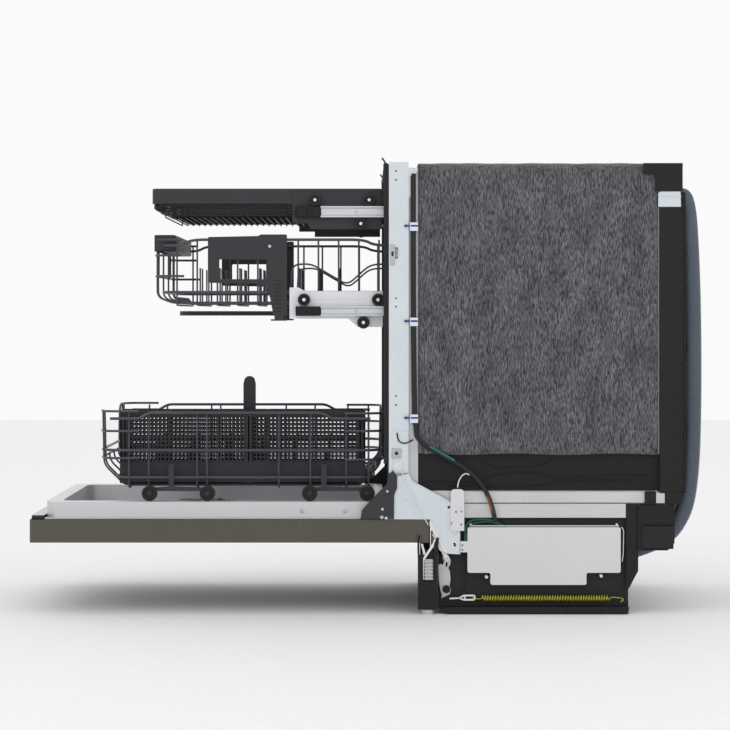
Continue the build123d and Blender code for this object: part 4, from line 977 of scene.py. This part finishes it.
MAT_FACE = 285.5
side_mat = Piece()
side_mat.block((284.15, 61.2, 234.2), (285.4, 517.8, 339.5), 0.4)
side_mat.block((285.3, 62, 305), (286.3, 517, 306.2), 0.2)
for swell in (
    ((72, 252), (178, 250), (214, 268), (296, 270), (330, 254), (470, 254)),
    ((118, 244), (300, 244), (340, 262), (500, 264)),
    ((180, 292), (208, 278), (292, 280), (318, 294)),
):
    side_mat.tube(bent([(MAT_FACE, y, z) for y, z in swell], 26, steps=8), 1.5, 8)
side_mat.mirrored()
side_mat.finish("bitumen_mats", "bitumen", "cabinet", ["bitumen_pads"], "bitumen_pads")

corner_lip = Piece()
corner_lip.plate(((42.6, 849), (61, 849), (57, 836), (54, 812), (48, 794), (42.6, 792)), 294.6, 295.8, 0.3)
corner_lip.tube([(295.8, 43.4, 848.6), (295.8, 60, 848.6)], 0.8, 8)
corner_lip.mirrored()
corner_lip.finish("tub_corner_lips", "galvanised", "cabinet", slot="front_flange")


def adjuster_screw(piece):
    """The screw head on each height adjuster."""
    piece.turned((0, -223, 701), ((250.2, 3.2), (251.6, 3.2), (252.2, 2.0)), 18)


def door_screws(piece):
    """The screws through the steel edge of the inner door."""
    for screw_y in (-160, -78):
        piece.turned((0, screw_y, 195), ((270.0, 5.0), (271.2, 5.0), (271.6, 3.8)), 24)
        piece.turned((0, screw_y, 195), ((271.4, 1.8), (272.2, 1.8)), 12)


mirrored_piece("adjuster_screws", "rivet_steel", "upper_rack", "height_adjusters", adjuster_screw)
mirrored_piece("door_edge_screws", "rivet_steel", "door", "door_inner_panel", door_screws)

front_lip = Piece()
front_lip.block((-238, -446, 770), (238, -425, 783.5), 4)
front_lip.block((-244, -430, 777), (-238, -190, 783.5), 1)
front_lip.block((238, -430, 777), (244, -190, 783.5), 1)
front_lip.finish("third_rack_front_lip", "gasket", "third_rack", slot="third_rack_frame")

rear_infill = Piece()
rear_infill.block((290.2, 492.5, 208.6), (296.8, 513, 233.6), 0.6)
rear_infill.block((284.4, 517.7, 233), (286.2, 521.4, 304), 0.2)
rear_infill.block((284.4, 531, 209), (296.8, 561.5, 233), 0.8)
rear_infill.block((284.4, 560.5, 232), (287.0, 571.0, 803), 0.4)
rear_infill.mirrored()
rear_infill.finish("rear_corner_infill", "black_plastic", "cabinet", slot="rear_frame")

rear_band = Piece()
rear_band.block((284.4, 513.5, 211), (295.4, 530.5, 231.5), 0.5)
rear_band.mirrored()
rear_band.finish("rear_band_ends", "band_steel", "cabinet", slot="base_rails")

# Thin grey lines on the black rear post: painted highlights, a long one down its edge and short glints part
# way up it.
rear_highlights = Piece()
rear_highlights.tube([(297.0, 562.5, 240), (297.0, 562.5, 765)], 0.5, 6)
for mark_z in (505, 470, 398, 362):
    rear_highlights.tube([(296.4, 541, mark_z), (296.4, 541, mark_z + 24)], 0.5, 6)
rear_highlights.mirrored()
rear_highlights.finish("rear_post_painted_highlights", "rack_plastic", "cabinet", slot="rear_frame")

rear_box_lid = Piece()
rear_box_lid.block((294.3, 487, 124), (296.9, 547, 168), 1.2)
rear_box_lid.tube([(295.2, 481, 172), (295.2, 548, 172)], 0.6, 6)
rear_box_lid.mirrored()
rear_box_lid.finish("rear_box_lids", "gasket", "cabinet", slot="rear_frame")

rear_cuffs = Piece()
rear_cuffs.plate(((517.5, 774.8), (517.5, 801), (522, 804), (560, 804), (561, 774.8)), 296.2, 297.9, 0.6)
rear_cuffs.tube([(297.9, 518, 796), (297.9, 561, 794)], 1.4, 10)
rear_cuffs.mirrored()
rear_cuffs.finish("rear_cuffs", "galvanised", "cabinet", slot="rear_frame")

# ---------------------------------------------------------------- floor, light and camera
world = bpy.data.worlds.new("studio")
bpy.context.scene.world = world
world.use_nodes = True
world.node_tree.nodes["Background"].inputs["Color"].default_value = (1, 1, 1, 1)
world.node_tree.nodes["Background"].inputs["Strength"].default_value = 0.96

floor_mesh = bpy.data.meshes.new("floor")
floor_mesh.from_pydata([(-9, -9, 0), (9, -9, 0), (9, 9, 0), (-9, 9, 0)], [], [(0, 1, 2, 3)])
floor_mesh.materials.append(surface("floor_paint", "F4F4F4", 40, EVEN, 0.01, 0.01, (0.7, 0.8), 0.00002))
floor = bpy.data.objects.new("floor", floor_mesh)
bpy.context.scene.collection.objects.link(floor)


def area_light(name, place, aim, size, power):
    """A soft square light aimed at a point."""
    light = bpy.data.lights.new(name, "AREA")
    light.size = size
    light.energy = power
    lamp = bpy.data.objects.new(name, light)
    lamp.location = place
    lamp.rotation_euler = (Vector(aim) - Vector(place)).to_track_quat("-Z", "Y").to_euler()
    bpy.context.scene.collection.objects.link(lamp)


MIDDLE = (0, -0.05, 0.4)
area_light("key", (3.4, -2.6, 3.4), MIDDLE, 2.2, 14)
area_light("fill", (3.8, 2.4, 1.6), MIDDLE, 2.6, 4)
area_light("top", (0, 0, 4.2), MIDDLE, 3.0, 6)

camera = bpy.data.cameras.new("camera")
camera.sensor_width = 36.0
camera.lens = 128.7
camera.shift_y = -0.067
viewpoint = bpy.data.objects.new("camera", camera)
viewpoint.location = (5.26, -0.040, 0.567)
viewpoint.rotation_euler = (math.radians(90), 0, math.radians(90))
bpy.context.scene.collection.objects.link(viewpoint)
bpy.context.scene.camera = viewpoint
bpy.context.scene.view_settings.view_transform = "Standard"
